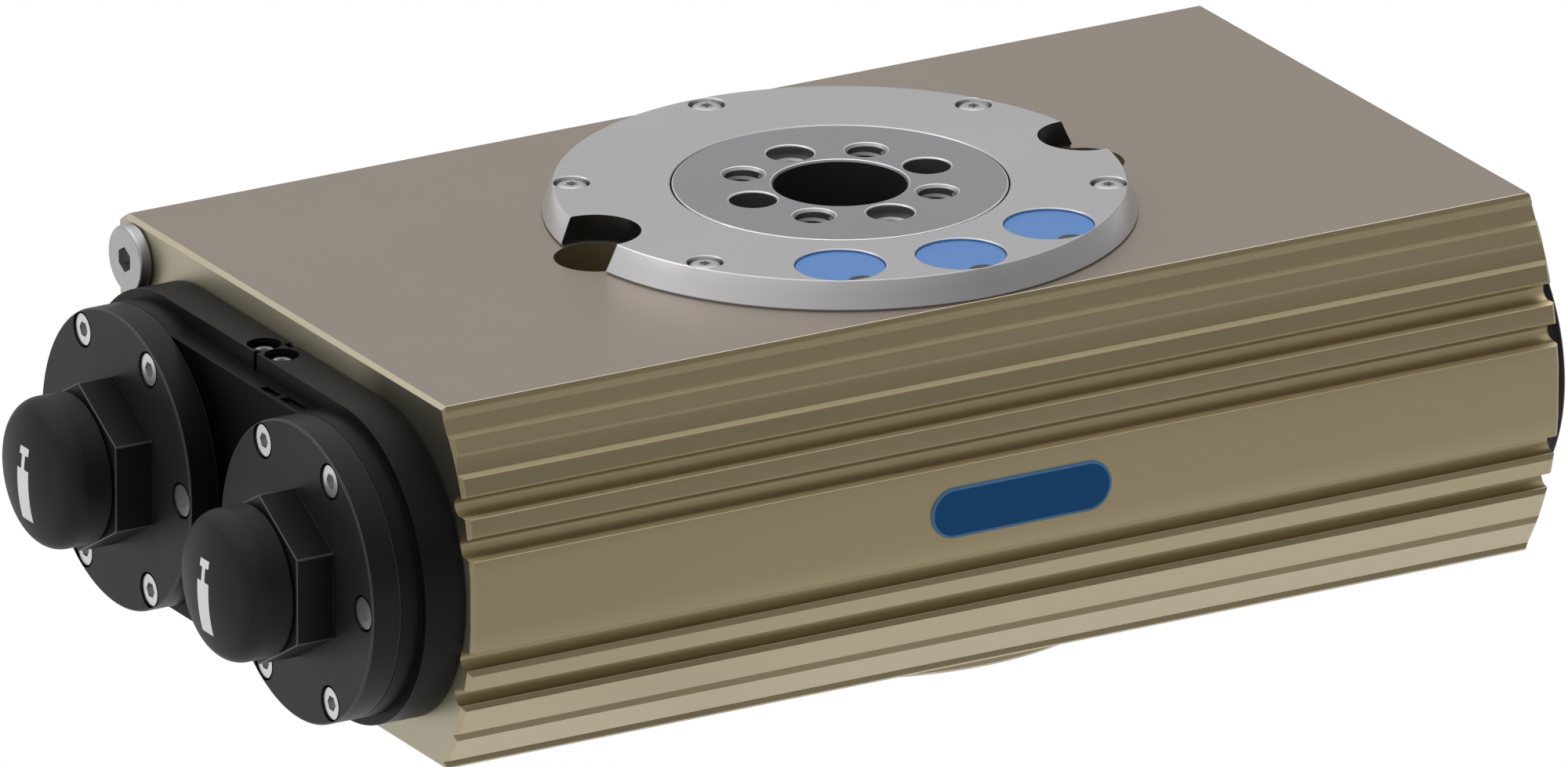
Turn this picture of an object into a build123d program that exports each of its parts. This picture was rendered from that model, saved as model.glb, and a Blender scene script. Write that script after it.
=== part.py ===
import math
import os

from build123d import *

os.makedirs("parts", exist_ok=True)

# Frame: origin on the pinion axis at the lowest face, +X along the bores, +Z along the pinion axis.
# Housing
HOUSING_LENGTH = 262.0
HOUSING_HEIGHT = 80.0
HOUSING_BOTTOM = 2.0
HOUSING_TOP = HOUSING_BOTTOM + HOUSING_HEIGHT
HALF_LENGTH = HOUSING_LENGTH / 2
END_CHAMFER = 0.9
REAR_SIDE = 75.4
REAR_TOP_EDGE = 72.2
SLOT_RADIUS = 2.2
BORE_DIAMETER = 45.0
BORE_SPACING = 77.3
BORE_Z = 41.8
BORE_Y = BORE_SPACING / 2
THREAD_SPACING_X = HOUSING_LENGTH - 62.0
THREAD_SPACING_Y = 90.0

# Profile of the ribbed side: distance out from the axis plane, depth below the top face
RIBBED_SIDE = [
    (62.9, 0.0), (63.3, 1.05), (63.1, 1.75), (63.15, 2.85), (64.8, 5.65), (66.3, 6.15),
    (68.05, 9.0), (68.05, 9.95), (69.1, 13.1), (70.3, 13.8), (71.5, 16.85), (71.5, 17.3),
    (71.25, 17.7), (68.9, 17.9), (69.9, 21.75), (73.1, 21.75), (73.95, 25.1), (73.95, 25.55),
    (73.5, 26.0), (71.0, 26.2), (72.0, 30.15), (74.8, 30.5), (75.4, 34.9), (75.4, 46.0),
    (74.9, 50.6), (72.0, 50.95), (71.9, 54.75), (72.7, 54.75), (73.6, 56.2), (72.65, 59.6),
    (70.0, 59.7), (69.6, 63.2), (70.1, 63.2), (70.8, 64.75), (68.2, 70.5), (67.0, 70.9),
    (67.2, 72.4), (63.8, 77.9), (62.8, 78.2), (63.1, 79.5), (62.7, 80.0),
]
SLOT_CENTRES = [(70.1, 19.65), (72.2, 28.05), (72.3, 52.85), (70.0, 61.35)]
OUTER_ENVELOPE = [
    (63.3, 0.0), (66.3, 6.15), (68.05, 9.0), (70.3, 13.8), (71.5, 16.85), (73.1, 21.75),
    (73.95, 25.1), (74.8, 30.5), (75.4, 34.9), (75.4, 46.0), (74.9, 50.6), (73.6, 56.2),
    (72.65, 59.6), (70.8, 64.75), (68.2, 70.5), (67.2, 72.4), (63.8, 77.9), (63.1, 80.0),
]
BADGE_DEPTH = 40.45
BADGE_LENGTH = 43.3
BADGE_X = 0.0

# Fixed ring on the top and the pinion inside it
RING_HEIGHT = 6.0
RING_BASE_RADIUS = 62.5
RING_TOP_RADIUS = 60.1
RING_OPENING = 35.65
RING_TOP = HOUSING_TOP + RING_HEIGHT
RING_SCREW_RADIUS = 56.2
RING_SCREW_ANGLES = [30, 90, 150, 210, 330]
PORT_COVER_ANGLES = [240, 270, 300]
PORT_COVER_CIRCLE = 50.3
PORT_COVER_DIAMETER = 19.1
RING_SCREW_HEAD = 7.2
MOUNT_SPACING = 118.0
MOUNT_NOTCH_RADIUS = 9.7
MOUNT_COUNTERBORE = 17.4
MOUNT_THROUGH = 11.0

PINION_FACE_DIAMETER = 70.7
PINION_BORE = 28.2
OUTPUT_CIRCLE = 42.0
OUTPUT_HOLE = 8.0
DOWEL_HOLE = 10.0
GEAR_MODULE = 2.0
GEAR_TEETH = 22
GEAR_FACE = 20.0
GEAR_BACKLASH = 0.3
RACK_PITCH_LINE = GEAR_MODULE * GEAR_TEETH / 2
CHAMBER_RADIUS = RACK_PITCH_LINE + GEAR_MODULE + 2.5
UPPER_JOURNAL = 55.0
UPPER_SEAT = UPPER_JOURNAL + 17.0
UPPER_BEARING_LOW = HOUSING_TOP - 14.0
UPPER_BEARING_HIGH = HOUSING_TOP - 5.0
SEAL_JOURNAL = UPPER_JOURNAL + 9.0
LOWER_JOURNAL = 45.0
LOWER_SEAT = LOWER_JOURNAL + 13.0
LOWER_BEARING_LOW = HOUSING_BOTTOM + 5.0
LOWER_BEARING_HIGH = HOUSING_BOTTOM + 12.0

# Pistons
PISTON_LENGTH = HOUSING_LENGTH - 102.0
PISTON_DIAMETER = BORE_DIAMETER - 0.4
STROKE = RACK_PITCH_LINE * math.pi / 2
RACK_HALF = STROKE + 18.5

# Left end: end plate, covers and shock absorbers, distances out from the end face
END_RADIUS = BORE_DIAMETER / 2 + 11.8
GASKET = 0.3
PLATE_OUT = 9.6
BOSS_OUT = PLATE_OUT + 4.6
COVER_OUT = BOSS_OUT + 6.9
COVER_RADIUS = END_RADIUS - 2.1
COVER_SCREW_CIRCLE = BORE_DIAMETER + 11.5
WEB_HALF = END_RADIUS - 4.3
HEX_FLATS = 32.5
HEX_OUT = COVER_OUT + 9.0
CAP_START = HEX_OUT + 0.6
CAP_OUT = CAP_START + 11.2
CAP_RADIUS = HEX_FLATS / 2
SLEEVE_THREAD = 26.0
DAMPER_DIAMETER = 18.0
DAMPER_TRAVEL = 12.0
THROTTLE_OUT = 5.45
THROTTLE_Y = [2.7, -4.75]
RIGHT_COVER = 2.8
AIR_PORT_X = HALF_LENGTH - 9.0


def polar(radius, angle):
    turn = math.radians(angle)
    return (radius * math.cos(turn), radius * math.sin(turn))


def out(distance):
    return -HALF_LENGTH - distance


def save(part, name):
    part.label = name
    export_step(part, "parts/" + name + ".step")


def involute_tooth_profile():
    pitch = GEAR_MODULE * GEAR_TEETH / 2
    base = pitch * math.cos(math.radians(20))
    tip = pitch + GEAR_MODULE - 0.1
    root = pitch - 1.25 * GEAR_MODULE - 0.1
    half = (math.pi * GEAR_MODULE / 2 - GEAR_BACKLASH) / 2 / pitch
    spread = math.tan(math.radians(20)) - math.radians(20)
    flank = []
    for step in range(4):
        radius = base + (tip - base) * step / 3
        pressure = math.acos(base / radius)
        flank.append((radius, half + spread - (math.tan(pressure) - pressure)))
    points = []
    for tooth in range(GEAR_TEETH):
        centre = math.radians(90) + 2 * math.pi * tooth / GEAR_TEETH
        points.append((root, centre - flank[0][1] - 0.004))
        points.extend((radius, centre - angle) for radius, angle in flank)
        points.extend((radius, centre + angle) for radius, angle in reversed(flank))
        points.append((root, centre + flank[0][1] + 0.004))
    return [(r * math.cos(a), r * math.sin(a)) for r, a in points]


# Housing: ribbed profile drawn along the bores, trimmed to the chamfered envelope at its ends
side_points = [(-y, HOUSING_TOP - depth) for y, depth in RIBBED_SIDE]
rear_points = [
    (REAR_TOP_EDGE, HOUSING_BOTTOM), (REAR_SIDE, HOUSING_BOTTOM + 2.0),
    (REAR_SIDE, HOUSING_TOP - 2.0), (REAR_TOP_EDGE, HOUSING_TOP),
]
envelope_points = [(-y, HOUSING_TOP - depth) for y, depth in OUTER_ENVELOPE]


def shrink(points, inset):
    moved = []
    for y, z in points:
        new_y = y + inset if y < 0 else y - inset
        new_z = min(max(z, HOUSING_BOTTOM + inset), HOUSING_TOP - inset)
        moved.append((new_y, new_z))
    return moved


with BuildPart() as envelope:
    with BuildSketch(Plane.YZ.offset(-HALF_LENGTH)):
        with BuildLine():
            Polyline(*shrink(envelope_points + rear_points, END_CHAMFER), close=True)
        make_face()
    with BuildSketch(Plane.YZ.offset(-HALF_LENGTH + END_CHAMFER)):
        with BuildLine():
            Polyline(*(envelope_points + rear_points), close=True)
        make_face()
    loft(ruled=True)
    with BuildSketch(Plane.YZ.offset(-HALF_LENGTH + END_CHAMFER)):
        with BuildLine():
            Polyline(*(envelope_points + rear_points), close=True)
        make_face()
    extrude(amount=HALF_LENGTH - END_CHAMFER)
    mirror(about=Plane.YZ)

with BuildPart() as housing:
    with BuildSketch(Plane.YZ.offset(-HALF_LENGTH)):
        with BuildLine():
            Polyline(*(side_points + rear_points), close=True)
        make_face()
        with Locations(*[(-y, HOUSING_TOP - depth) for y, depth in SLOT_CENTRES]):
            Circle(SLOT_RADIUS, mode=Mode.SUBTRACT)
    extrude(amount=HOUSING_LENGTH)
    add(envelope.part, mode=Mode.INTERSECT)
    with BuildSketch(Plane.YZ.offset(-HALF_LENGTH)):
        with Locations((BORE_Y, BORE_Z), (-BORE_Y, BORE_Z)):
            Circle(BORE_DIAMETER / 2)
    extrude(amount=HOUSING_LENGTH, mode=Mode.SUBTRACT)
    # Stepped pinion chamber
    with BuildSketch(Plane.XZ):
        with BuildLine():
            Polyline(
                (0, HOUSING_BOTTOM), (LOWER_SEAT / 2, HOUSING_BOTTOM),
                (LOWER_SEAT / 2, LOWER_BEARING_HIGH), (LOWER_SEAT / 2 - 3.0, LOWER_BEARING_HIGH),
                (LOWER_SEAT / 2 - 3.0, LOWER_BEARING_HIGH + 6.0),
                (CHAMBER_RADIUS, LOWER_BEARING_HIGH + 6.0),
                (CHAMBER_RADIUS, UPPER_BEARING_LOW - 2.0),
                (UPPER_SEAT / 2 - 4.0, UPPER_BEARING_LOW - 2.0),
                (UPPER_SEAT / 2 - 4.0, UPPER_BEARING_LOW), (UPPER_SEAT / 2, UPPER_BEARING_LOW),
                (UPPER_SEAT / 2, HOUSING_TOP), (0, HOUSING_TOP), close=True,
            )
        make_face()
    revolve(axis=Axis.Z, mode=Mode.SUBTRACT)
    # Mounting holes through the housing
    with BuildSketch(Plane.XY.offset(HOUSING_TOP)):
        with Locations((-MOUNT_SPACING / 2, 0), (MOUNT_SPACING / 2, 0)):
            Circle(MOUNT_COUNTERBORE / 2)
    extrude(amount=-30, mode=Mode.SUBTRACT)
    with BuildSketch(Plane.XY.offset(HOUSING_TOP)):
        with Locations((-MOUNT_SPACING / 2, 0), (MOUNT_SPACING / 2, 0)):
            Circle(MOUNT_THROUGH / 2)
    extrude(amount=-HOUSING_HEIGHT, mode=Mode.SUBTRACT)
    # Threaded holes for the ring screws and the bottom cover screws
    with BuildSketch(Plane.XY.offset(HOUSING_TOP)):
        with Locations(*[polar(RING_SCREW_RADIUS, a) for a in RING_SCREW_ANGLES]):
            Circle(2.0)
    extrude(amount=-9, mode=Mode.SUBTRACT)
    with BuildSketch(Plane.XY.offset(HOUSING_BOTTOM)):
        with PolarLocations(50, 6, start_angle=30):
            Circle(2.0)
    extrude(amount=9, mode=Mode.SUBTRACT)
    # Threaded mounting holes in the underside
    with BuildSketch(Plane.XY.offset(HOUSING_BOTTOM)):
        with GridLocations(THREAD_SPACING_X, THREAD_SPACING_Y, 2, 2):
            Circle(3.4)
    extrude(amount=13, mode=Mode.SUBTRACT)
    # Threaded holes for the screws of the cylinder covers and of the right cover
    with BuildSketch(Plane.YZ.offset(-HALF_LENGTH)):
        with Locations((BORE_Y, BORE_Z), (-BORE_Y, BORE_Z)):
            with PolarLocations(COVER_SCREW_CIRCLE / 2, 6):
                Circle(2.0)
    extrude(amount=9, mode=Mode.SUBTRACT)
    with BuildSketch(Plane.YZ.offset(HALF_LENGTH)):
        with Locations((BORE_Y, BORE_Z), (-BORE_Y, BORE_Z)):
            with PolarLocations(COVER_SCREW_CIRCLE / 2, 4, start_angle=45):
                Circle(2.0)
    extrude(amount=-9, mode=Mode.SUBTRACT)
    # Air ports: one plugged in the left end, two in the rear side into the rear bore
    with BuildSketch(Plane.YZ.offset(-HALF_LENGTH)):
        with Locations((67.35, 73.85)):
            Circle(4.9)
    extrude(amount=12, mode=Mode.SUBTRACT)
    with BuildSketch(Plane.XZ.offset(-REAR_SIDE)):
        with Locations((-AIR_PORT_X, BORE_Z - 9), (AIR_PORT_X, BORE_Z - 9)):
            Circle(4.3)
    extrude(amount=20, mode=Mode.SUBTRACT)
save(housing.part, "housing")

# Fixed ring with the screw recesses, the blue covers' recesses and the two mounting notches
with BuildPart() as top_ring:
    with BuildSketch(Plane.XZ):
        with BuildLine():
            Polyline(
                (UPPER_SEAT / 2 + 0.2, HOUSING_TOP), (RING_BASE_RADIUS - 0.4, HOUSING_TOP),
                (RING_BASE_RADIUS - 0.4, HOUSING_TOP + 0.4), (RING_BASE_RADIUS, HOUSING_TOP + 0.4),
                (RING_TOP_RADIUS + 0.1, RING_TOP - 0.25), (RING_TOP_RADIUS - 0.15, RING_TOP),
                (RING_OPENING + 0.2, RING_TOP), (RING_OPENING, RING_TOP - 0.2),
                (RING_OPENING, HOUSING_TOP + 2.0), (UPPER_SEAT / 2 + 0.2, HOUSING_TOP + 2.0),
                close=True,
            )
        make_face()
    revolve(axis=Axis.Z)
    with BuildSketch(Plane.XY.offset(RING_TOP)):
        with Locations(*[polar(RING_SCREW_RADIUS, a) for a in RING_SCREW_ANGLES]):
            Circle(RING_SCREW_HEAD / 2 + 0.25)
    extrude(amount=-3.0, mode=Mode.SUBTRACT)
    with BuildSketch(Plane.XY.offset(RING_TOP)):
        with Locations(*[polar(RING_SCREW_RADIUS, a) for a in RING_SCREW_ANGLES]):
            Circle(RING_SCREW_HEAD / 2 + 0.45)
    extrude(amount=-0.2, taper=45, mode=Mode.SUBTRACT)
    with BuildSketch(Plane.XY.offset(RING_TOP)):
        with Locations(*[polar(RING_SCREW_RADIUS, a) for a in RING_SCREW_ANGLES]):
            Circle(2.25)
    extrude(amount=-RING_HEIGHT, mode=Mode.SUBTRACT)
    with BuildSketch(Plane.XY.offset(RING_TOP)):
        with Locations(*[polar(PORT_COVER_CIRCLE, a) for a in PORT_COVER_ANGLES]):
            Circle(PORT_COVER_DIAMETER / 2)
    extrude(amount=-2.8, mode=Mode.SUBTRACT)
    with BuildSketch(Plane.XY.offset(RING_TOP)):
        with Locations(*[polar(PORT_COVER_CIRCLE, a) for a in PORT_COVER_ANGLES]):
            Circle(PORT_COVER_DIAMETER / 2 + 0.2)
    extrude(amount=-0.2, taper=45, mode=Mode.SUBTRACT)
    with BuildSketch(Plane.XY.offset(RING_TOP)):
        with Locations((-MOUNT_SPACING / 2, 0), (MOUNT_SPACING / 2, 0)):
            Circle(MOUNT_NOTCH_RADIUS)
    extrude(amount=-RING_HEIGHT, mode=Mode.SUBTRACT)
save(top_ring.part, "top_ring")

# Five identical screws of the ring: domed heads with a six-lobed socket
HEAD_TOP = RING_TOP - 0.25
HEAD_EDGE = RING_SCREW_HEAD / 2
with BuildPart() as ring_screw:
    with BuildSketch(Plane.XZ):
        with BuildLine():
            Polyline((1.9, HEAD_TOP), (0, HEAD_TOP), (0, RING_TOP - 14.0), (2.0, RING_TOP - 14.0),
                     (2.0, RING_TOP - 3.0), (HEAD_EDGE, RING_TOP - 3.0), (HEAD_EDGE, HEAD_TOP - 0.9))
            ThreePointArc((HEAD_EDGE, HEAD_TOP - 0.9), (HEAD_EDGE - 0.65, HEAD_TOP - 0.28),
                          (1.9, HEAD_TOP))
        make_face()
    revolve(axis=Axis.Z)
    with BuildSketch(Plane.XY.offset(HEAD_TOP)):
        Circle(1.0)
        with PolarLocations(1.05, 6, start_angle=30):
            Circle(0.34)
    extrude(amount=-1.3, mode=Mode.SUBTRACT)
with BuildPart() as ring_screws:
    for angle in RING_SCREW_ANGLES:
        across, along = polar(RING_SCREW_RADIUS, angle)
        add(ring_screw.part.moved(Location((across, along, 0), (0, 0, angle))))
save(ring_screws.part, "ring_screws")

for number, angle in enumerate(PORT_COVER_ANGLES, 1):
    with BuildPart() as port_cover:
        with BuildSketch(Plane.XY.offset(RING_TOP - 2.8)):
            with Locations(polar(PORT_COVER_CIRCLE, angle)):
                Circle(PORT_COVER_DIAMETER / 2 - 0.05)
        extrude(amount=2.25)
        chamfer(port_cover.edges().group_by(Axis.Z)[-1], 0.15)
        with BuildSketch(Plane.XY.offset(RING_TOP - 0.55)):
            with Locations(polar(PORT_COVER_CIRCLE, angle)):
                with Locations((0, -PORT_COVER_DIAMETER / 2 - 1.35)):
                    Circle(2.4)
        extrude(amount=-1.4, mode=Mode.SUBTRACT)
    save(port_cover.part, "port_cover_" + str(number))

# Bottom cover: a collar that shows below the housing and locates the lower bearing
with BuildPart() as bottom_cover:
    with BuildSketch(Plane.XZ):
        with BuildLine():
            Polyline(
                (LOWER_JOURNAL / 2 + 0.9, 0), (61.3, 0), (62.0, 0.7), (62.0, HOUSING_BOTTOM),
                (LOWER_SEAT / 2, HOUSING_BOTTOM), (LOWER_SEAT / 2, LOWER_BEARING_LOW),
                (LOWER_SEAT / 2 - 1.6, LOWER_BEARING_LOW), (LOWER_SEAT / 2 - 1.6, 1.6),
                (LOWER_JOURNAL / 2 + 0.9, 1.6), close=True,
            )
        make_face()
    revolve(axis=Axis.Z)
    with BuildSketch(Plane.XY):
        with PolarLocations(50, 6, start_angle=30):
            Circle(2.2)
    extrude(amount=HOUSING_BOTTOM, mode=Mode.SUBTRACT)
    with BuildSketch(Plane.XY):
        with PolarLocations(50, 6, start_angle=30):
            Circle(4.0)
    extrude(amount=1.8, taper=45, mode=Mode.SUBTRACT)
    with BuildSketch(Plane.XY):
        with Locations((-MOUNT_SPACING / 2, 0), (MOUNT_SPACING / 2, 0)):
            Circle(6.5)
    extrude(amount=HOUSING_BOTTOM, mode=Mode.SUBTRACT)
save(bottom_cover.part, "bottom_cover")

with BuildPart() as bottom_cover_screws:
    with BuildSketch(Plane.XY.offset(0.1)):
        with PolarLocations(50, 6, start_angle=30):
            Circle(3.9)
    extrude(amount=1.7, taper=45)
    with BuildSketch(Plane.XY.offset(1.8)):
        with PolarLocations(50, 6, start_angle=30):
            Circle(2.0)
    extrude(amount=8.2)
    with BuildSketch(Plane.XY.offset(0.1)):
        with PolarLocations(50, 6, start_angle=30):
            RegularPolygon(1.4, 6)
    extrude(amount=1.3, mode=Mode.SUBTRACT)
save(bottom_cover_screws.part, "bottom_cover_screws")


# Bearings: an inner ring, an outer ring and the two shields between them
def bearing_ring(inner, outer, low, high, bevel):
    with BuildPart() as ring:
        with BuildSketch(Plane.XZ):
            with BuildLine():
                Polyline(
                    (inner, low), (outer - bevel, low), (outer, low + bevel),
                    (outer, high - bevel), (outer - bevel, high), (inner, high), close=True,
                )
            make_face()
        revolve(axis=Axis.Z)
    return ring.part


def bearing_set(name, inner, outer, low, high):
    gap = (outer - inner) / 2
    save(bearing_ring(outer - gap * 0.36, outer, low, high, 0.4), name + "_outer_ring")
    save(bearing_ring(inner, inner + gap * 0.36, low, high, 0.2), name + "_inner_ring")
    with BuildPart() as shields:
        with BuildSketch(Plane.XY.offset(low + 0.4)):
            Circle(outer - gap * 0.36)
            Circle(inner + gap * 0.36 + 0.08, mode=Mode.SUBTRACT)
        extrude(amount=0.6)
        with BuildSketch(Plane.XY.offset(high - 1.0)):
            Circle(outer - gap * 0.36)
            Circle(inner + gap * 0.36 + 0.08, mode=Mode.SUBTRACT)
        extrude(amount=0.6)
    save(shields.part, name + "_shields")


UPPER_Z = (UPPER_BEARING_LOW, UPPER_BEARING_HIGH)
LOWER_Z = (LOWER_BEARING_LOW, LOWER_BEARING_HIGH)
bearing_set("upper_bearing", UPPER_JOURNAL / 2, UPPER_SEAT / 2, *UPPER_Z)
bearing_set("lower_bearing", LOWER_JOURNAL / 2, LOWER_SEAT / 2, *LOWER_Z)

with BuildPart() as shaft_seal:
    with BuildSketch(Plane.XZ):
        with BuildLine():
            Polyline(
                (SEAL_JOURNAL / 2 + 0.04, HOUSING_TOP - 2.0), (SEAL_JOURNAL / 2 + 1.2, HOUSING_TOP - 4.0),
                (UPPER_SEAT / 2, HOUSING_TOP - 4.0), (UPPER_SEAT / 2, HOUSING_TOP + 1.0),
                (SEAL_JOURNAL / 2 + 0.9, HOUSING_TOP + 1.0), (SEAL_JOURNAL / 2 + 0.04, HOUSING_TOP - 0.6),
                close=True,
            )
        make_face()
    revolve(axis=Axis.Z)
save(shaft_seal.part, "shaft_seal")

# Pinion: output face, journals and gear in one piece
FACE_RADIUS = PINION_FACE_DIAMETER / 2
with BuildPart() as pinion:
    with BuildSketch(Plane.XZ):
        with BuildLine():
            Polyline(
                (PINION_BORE / 2, 0), (LOWER_JOURNAL / 2 - 0.4, 0), (LOWER_JOURNAL / 2, 0.4),
                (LOWER_JOURNAL / 2, LOWER_BEARING_HIGH), (LOWER_JOURNAL / 2 + 1.5, LOWER_BEARING_HIGH),
                (LOWER_JOURNAL / 2 + 1.5, LOWER_BEARING_HIGH + 3.0), (19.0, LOWER_BEARING_HIGH + 5.0),
                (19.0, UPPER_BEARING_LOW - 8.0), (UPPER_JOURNAL / 2 - 3.0, UPPER_BEARING_LOW - 2.5),
                (UPPER_JOURNAL / 2, UPPER_BEARING_LOW - 1.5), (UPPER_JOURNAL / 2, UPPER_BEARING_HIGH),
                (SEAL_JOURNAL / 2, UPPER_BEARING_HIGH), (SEAL_JOURNAL / 2, RING_TOP - 3.6),
                (FACE_RADIUS, RING_TOP - 3.6), (FACE_RADIUS, RING_TOP - 0.2),
                (FACE_RADIUS - 0.2, RING_TOP), (PINION_BORE / 2 + 0.5, RING_TOP),
                (PINION_BORE / 2, RING_TOP - 0.5), close=True,
            )
        make_face()
    revolve(axis=Axis.Z)
    with BuildSketch(Plane.XY.offset(BORE_Z - GEAR_FACE / 2)):
        with BuildLine():
            Polyline(*involute_tooth_profile(), close=True)
        make_face()
        Circle(PINION_BORE / 2 + 1.9, mode=Mode.SUBTRACT)
    extrude(amount=GEAR_FACE)
    # Four threaded holes, two plain dowel holes and two stepped holes on the output circle
    with BuildSketch(Plane.XY.offset(RING_TOP)):
        with PolarLocations(OUTPUT_CIRCLE / 2, 4, start_angle=45):
            Circle(OUTPUT_HOLE / 2)
    extrude(amount=-14, mode=Mode.SUBTRACT)
    with BuildSketch(Plane.XY.offset(RING_TOP)):
        with PolarLocations(OUTPUT_CIRCLE / 2, 4, start_angle=45):
            Circle(OUTPUT_HOLE / 2 + 0.65)
    extrude(amount=-0.65, taper=45, mode=Mode.SUBTRACT)
    with BuildSketch(Plane.XY.offset(RING_TOP)):
        with PolarLocations(OUTPUT_CIRCLE / 2, 2, start_angle=0):
            Circle(DOWEL_HOLE / 2)
    extrude(amount=-12, mode=Mode.SUBTRACT)
    with BuildSketch(Plane.XY.offset(RING_TOP)):
        with PolarLocations(OUTPUT_CIRCLE / 2, 2, start_angle=90):
            Circle(DOWEL_HOLE / 2)
    extrude(amount=-2.5, mode=Mode.SUBTRACT)
    with BuildSketch(Plane.XY.offset(RING_TOP)):
        with PolarLocations(OUTPUT_CIRCLE / 2, 4, start_angle=0):
            Circle(DOWEL_HOLE / 2 + 0.25)
    extrude(amount=-0.25, taper=45, mode=Mode.SUBTRACT)
    with BuildSketch(Plane.XY.offset(RING_TOP - 2.5)):
        with PolarLocations(OUTPUT_CIRCLE / 2, 2, start_angle=90):
            Circle(3.9)
    extrude(amount=-0.5, taper=45, mode=Mode.SUBTRACT)
    with BuildSketch(Plane.XY.offset(RING_TOP - 2.5)):
        with PolarLocations(OUTPUT_CIRCLE / 2, 2, start_angle=90):
            Circle(3.4)
    extrude(amount=-10, mode=Mode.SUBTRACT)
save(pinion.part, "pinion")

with BuildPart() as pinion_nut:
    with BuildSketch(Plane.XY.offset(1.9)):
        Circle(LOWER_JOURNAL / 2 + 4.4)
        Circle(LOWER_JOURNAL / 2, mode=Mode.SUBTRACT)
        with PolarLocations(LOWER_JOURNAL / 2 + 4.4, 4):
            Rectangle(3.0, 4.0, mode=Mode.SUBTRACT)
    extrude(amount=5.1)
save(pinion_nut.part, "pinion_nut")

# Pistons with the rack between their heads; the rear one is the front one turned about the pinion axis
PITCH = math.pi * GEAR_MODULE
RACK_OFFSET = BORE_Y - RACK_PITCH_LINE


def tooth_space(centre):
    low = RACK_OFFSET - 1.3 * GEAR_MODULE
    high = RACK_OFFSET + GEAR_MODULE
    slope = math.tan(math.radians(20))
    mid = PITCH / 4 + 0.03
    return [
        (centre - mid + 1.3 * GEAR_MODULE * slope, low),
        (centre + mid - 1.3 * GEAR_MODULE * slope, low),
        (centre + mid + GEAR_MODULE * slope, high),
        (centre - mid - GEAR_MODULE * slope, high),
    ]


PISTON_END = PISTON_LENGTH / 2
GROOVES = [
    (PISTON_END - 18.0, PISTON_END - 14.0, 2.9), (PISTON_END - 11.5, PISTON_END - 8.0, 3.0),
    (PISTON_END - 6.0, PISTON_END - 2.0, 1.6),
]


def turned_ring(start, end, inner, outer):
    with BuildPart() as ring:
        for low in (start, -end):
            with BuildSketch(Plane.YZ.offset(low)):
                Circle(outer)
                Circle(inner, mode=Mode.SUBTRACT)
            extrude(amount=end - start)
    return ring.part


with BuildPart() as piston:
    with BuildSketch(Plane.YZ.offset(-PISTON_LENGTH / 2)):
        Circle(PISTON_DIAMETER / 2)
    extrude(amount=PISTON_LENGTH)
    with BuildSketch(Plane.YZ.offset(-RACK_HALF)):
        with Locations((0, GEAR_FACE / 2 + 7.5), (0, -GEAR_FACE / 2 - 7.5)):
            Rectangle(2 * PISTON_DIAMETER, 13)
        with Locations((RACK_OFFSET + GEAR_MODULE - 0.05 + 5, 0)):
            Rectangle(10, 60)
    extrude(amount=2 * RACK_HALF, mode=Mode.SUBTRACT)
    with BuildSketch(Plane.XY.offset(-12)):
        for number in range(-8, 9):
            with BuildLine():
                Polyline(*tooth_space(number * PITCH), close=True)
            make_face()
    extrude(amount=24, mode=Mode.SUBTRACT)
    for start, end, depth in GROOVES:
        add(turned_ring(start, end, PISTON_DIAMETER / 2 - depth, 24), mode=Mode.SUBTRACT)

seals = turned_ring(
    GROOVES[0][0] + 0.1, GROOVES[0][1] - 0.1, PISTON_DIAMETER / 2 - 2.9, BORE_DIAMETER / 2 - 0.04)
magnets = turned_ring(
    GROOVES[1][0], GROOVES[1][1], PISTON_DIAMETER / 2 - 3.0, PISTON_DIAMETER / 2 - 0.1)
guides = turned_ring(
    GROOVES[2][0] + 0.1, GROOVES[2][1] - 0.1, PISTON_DIAMETER / 2 - 1.6, BORE_DIAMETER / 2 - 0.05)
for side, turn, y in (("front", 0, -BORE_Y), ("rear", 180, BORE_Y)):
    place = Location((0, y, BORE_Z), (0, 0, turn))
    save(piston.part.moved(place), side + "_piston")
    save(seals.moved(place), side + "_piston_seals")
    save(magnets.moved(place), side + "_piston_magnets")
    save(guides.moved(place), side + "_guide_rings")


def stadium(radius):
    Rectangle(BORE_SPACING, 2 * radius)
    with Locations((-BORE_Y, 0), (BORE_Y, 0)):
        Circle(radius)


LEFT = Plane(origin=(-HALF_LENGTH, 0, BORE_Z), x_dir=(0, -1, 0), z_dir=(-1, 0, 0))
RIGHT = Plane(origin=(HALF_LENGTH, 0, BORE_Z), x_dir=(0, 1, 0), z_dir=(1, 0, 0))
BORES = [(-BORE_Y, 0), (BORE_Y, 0)]

with BuildPart() as end_plate_gasket:
    with BuildSketch(LEFT):
        stadium(END_RADIUS - 0.35)
        with Locations(*BORES):
            Circle(BORE_DIAMETER / 2, mode=Mode.SUBTRACT)
            with PolarLocations(COVER_SCREW_CIRCLE / 2, 6):
                Circle(2.2, mode=Mode.SUBTRACT)
    extrude(amount=GASKET)
save(end_plate_gasket.part, "end_plate_gasket")

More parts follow.
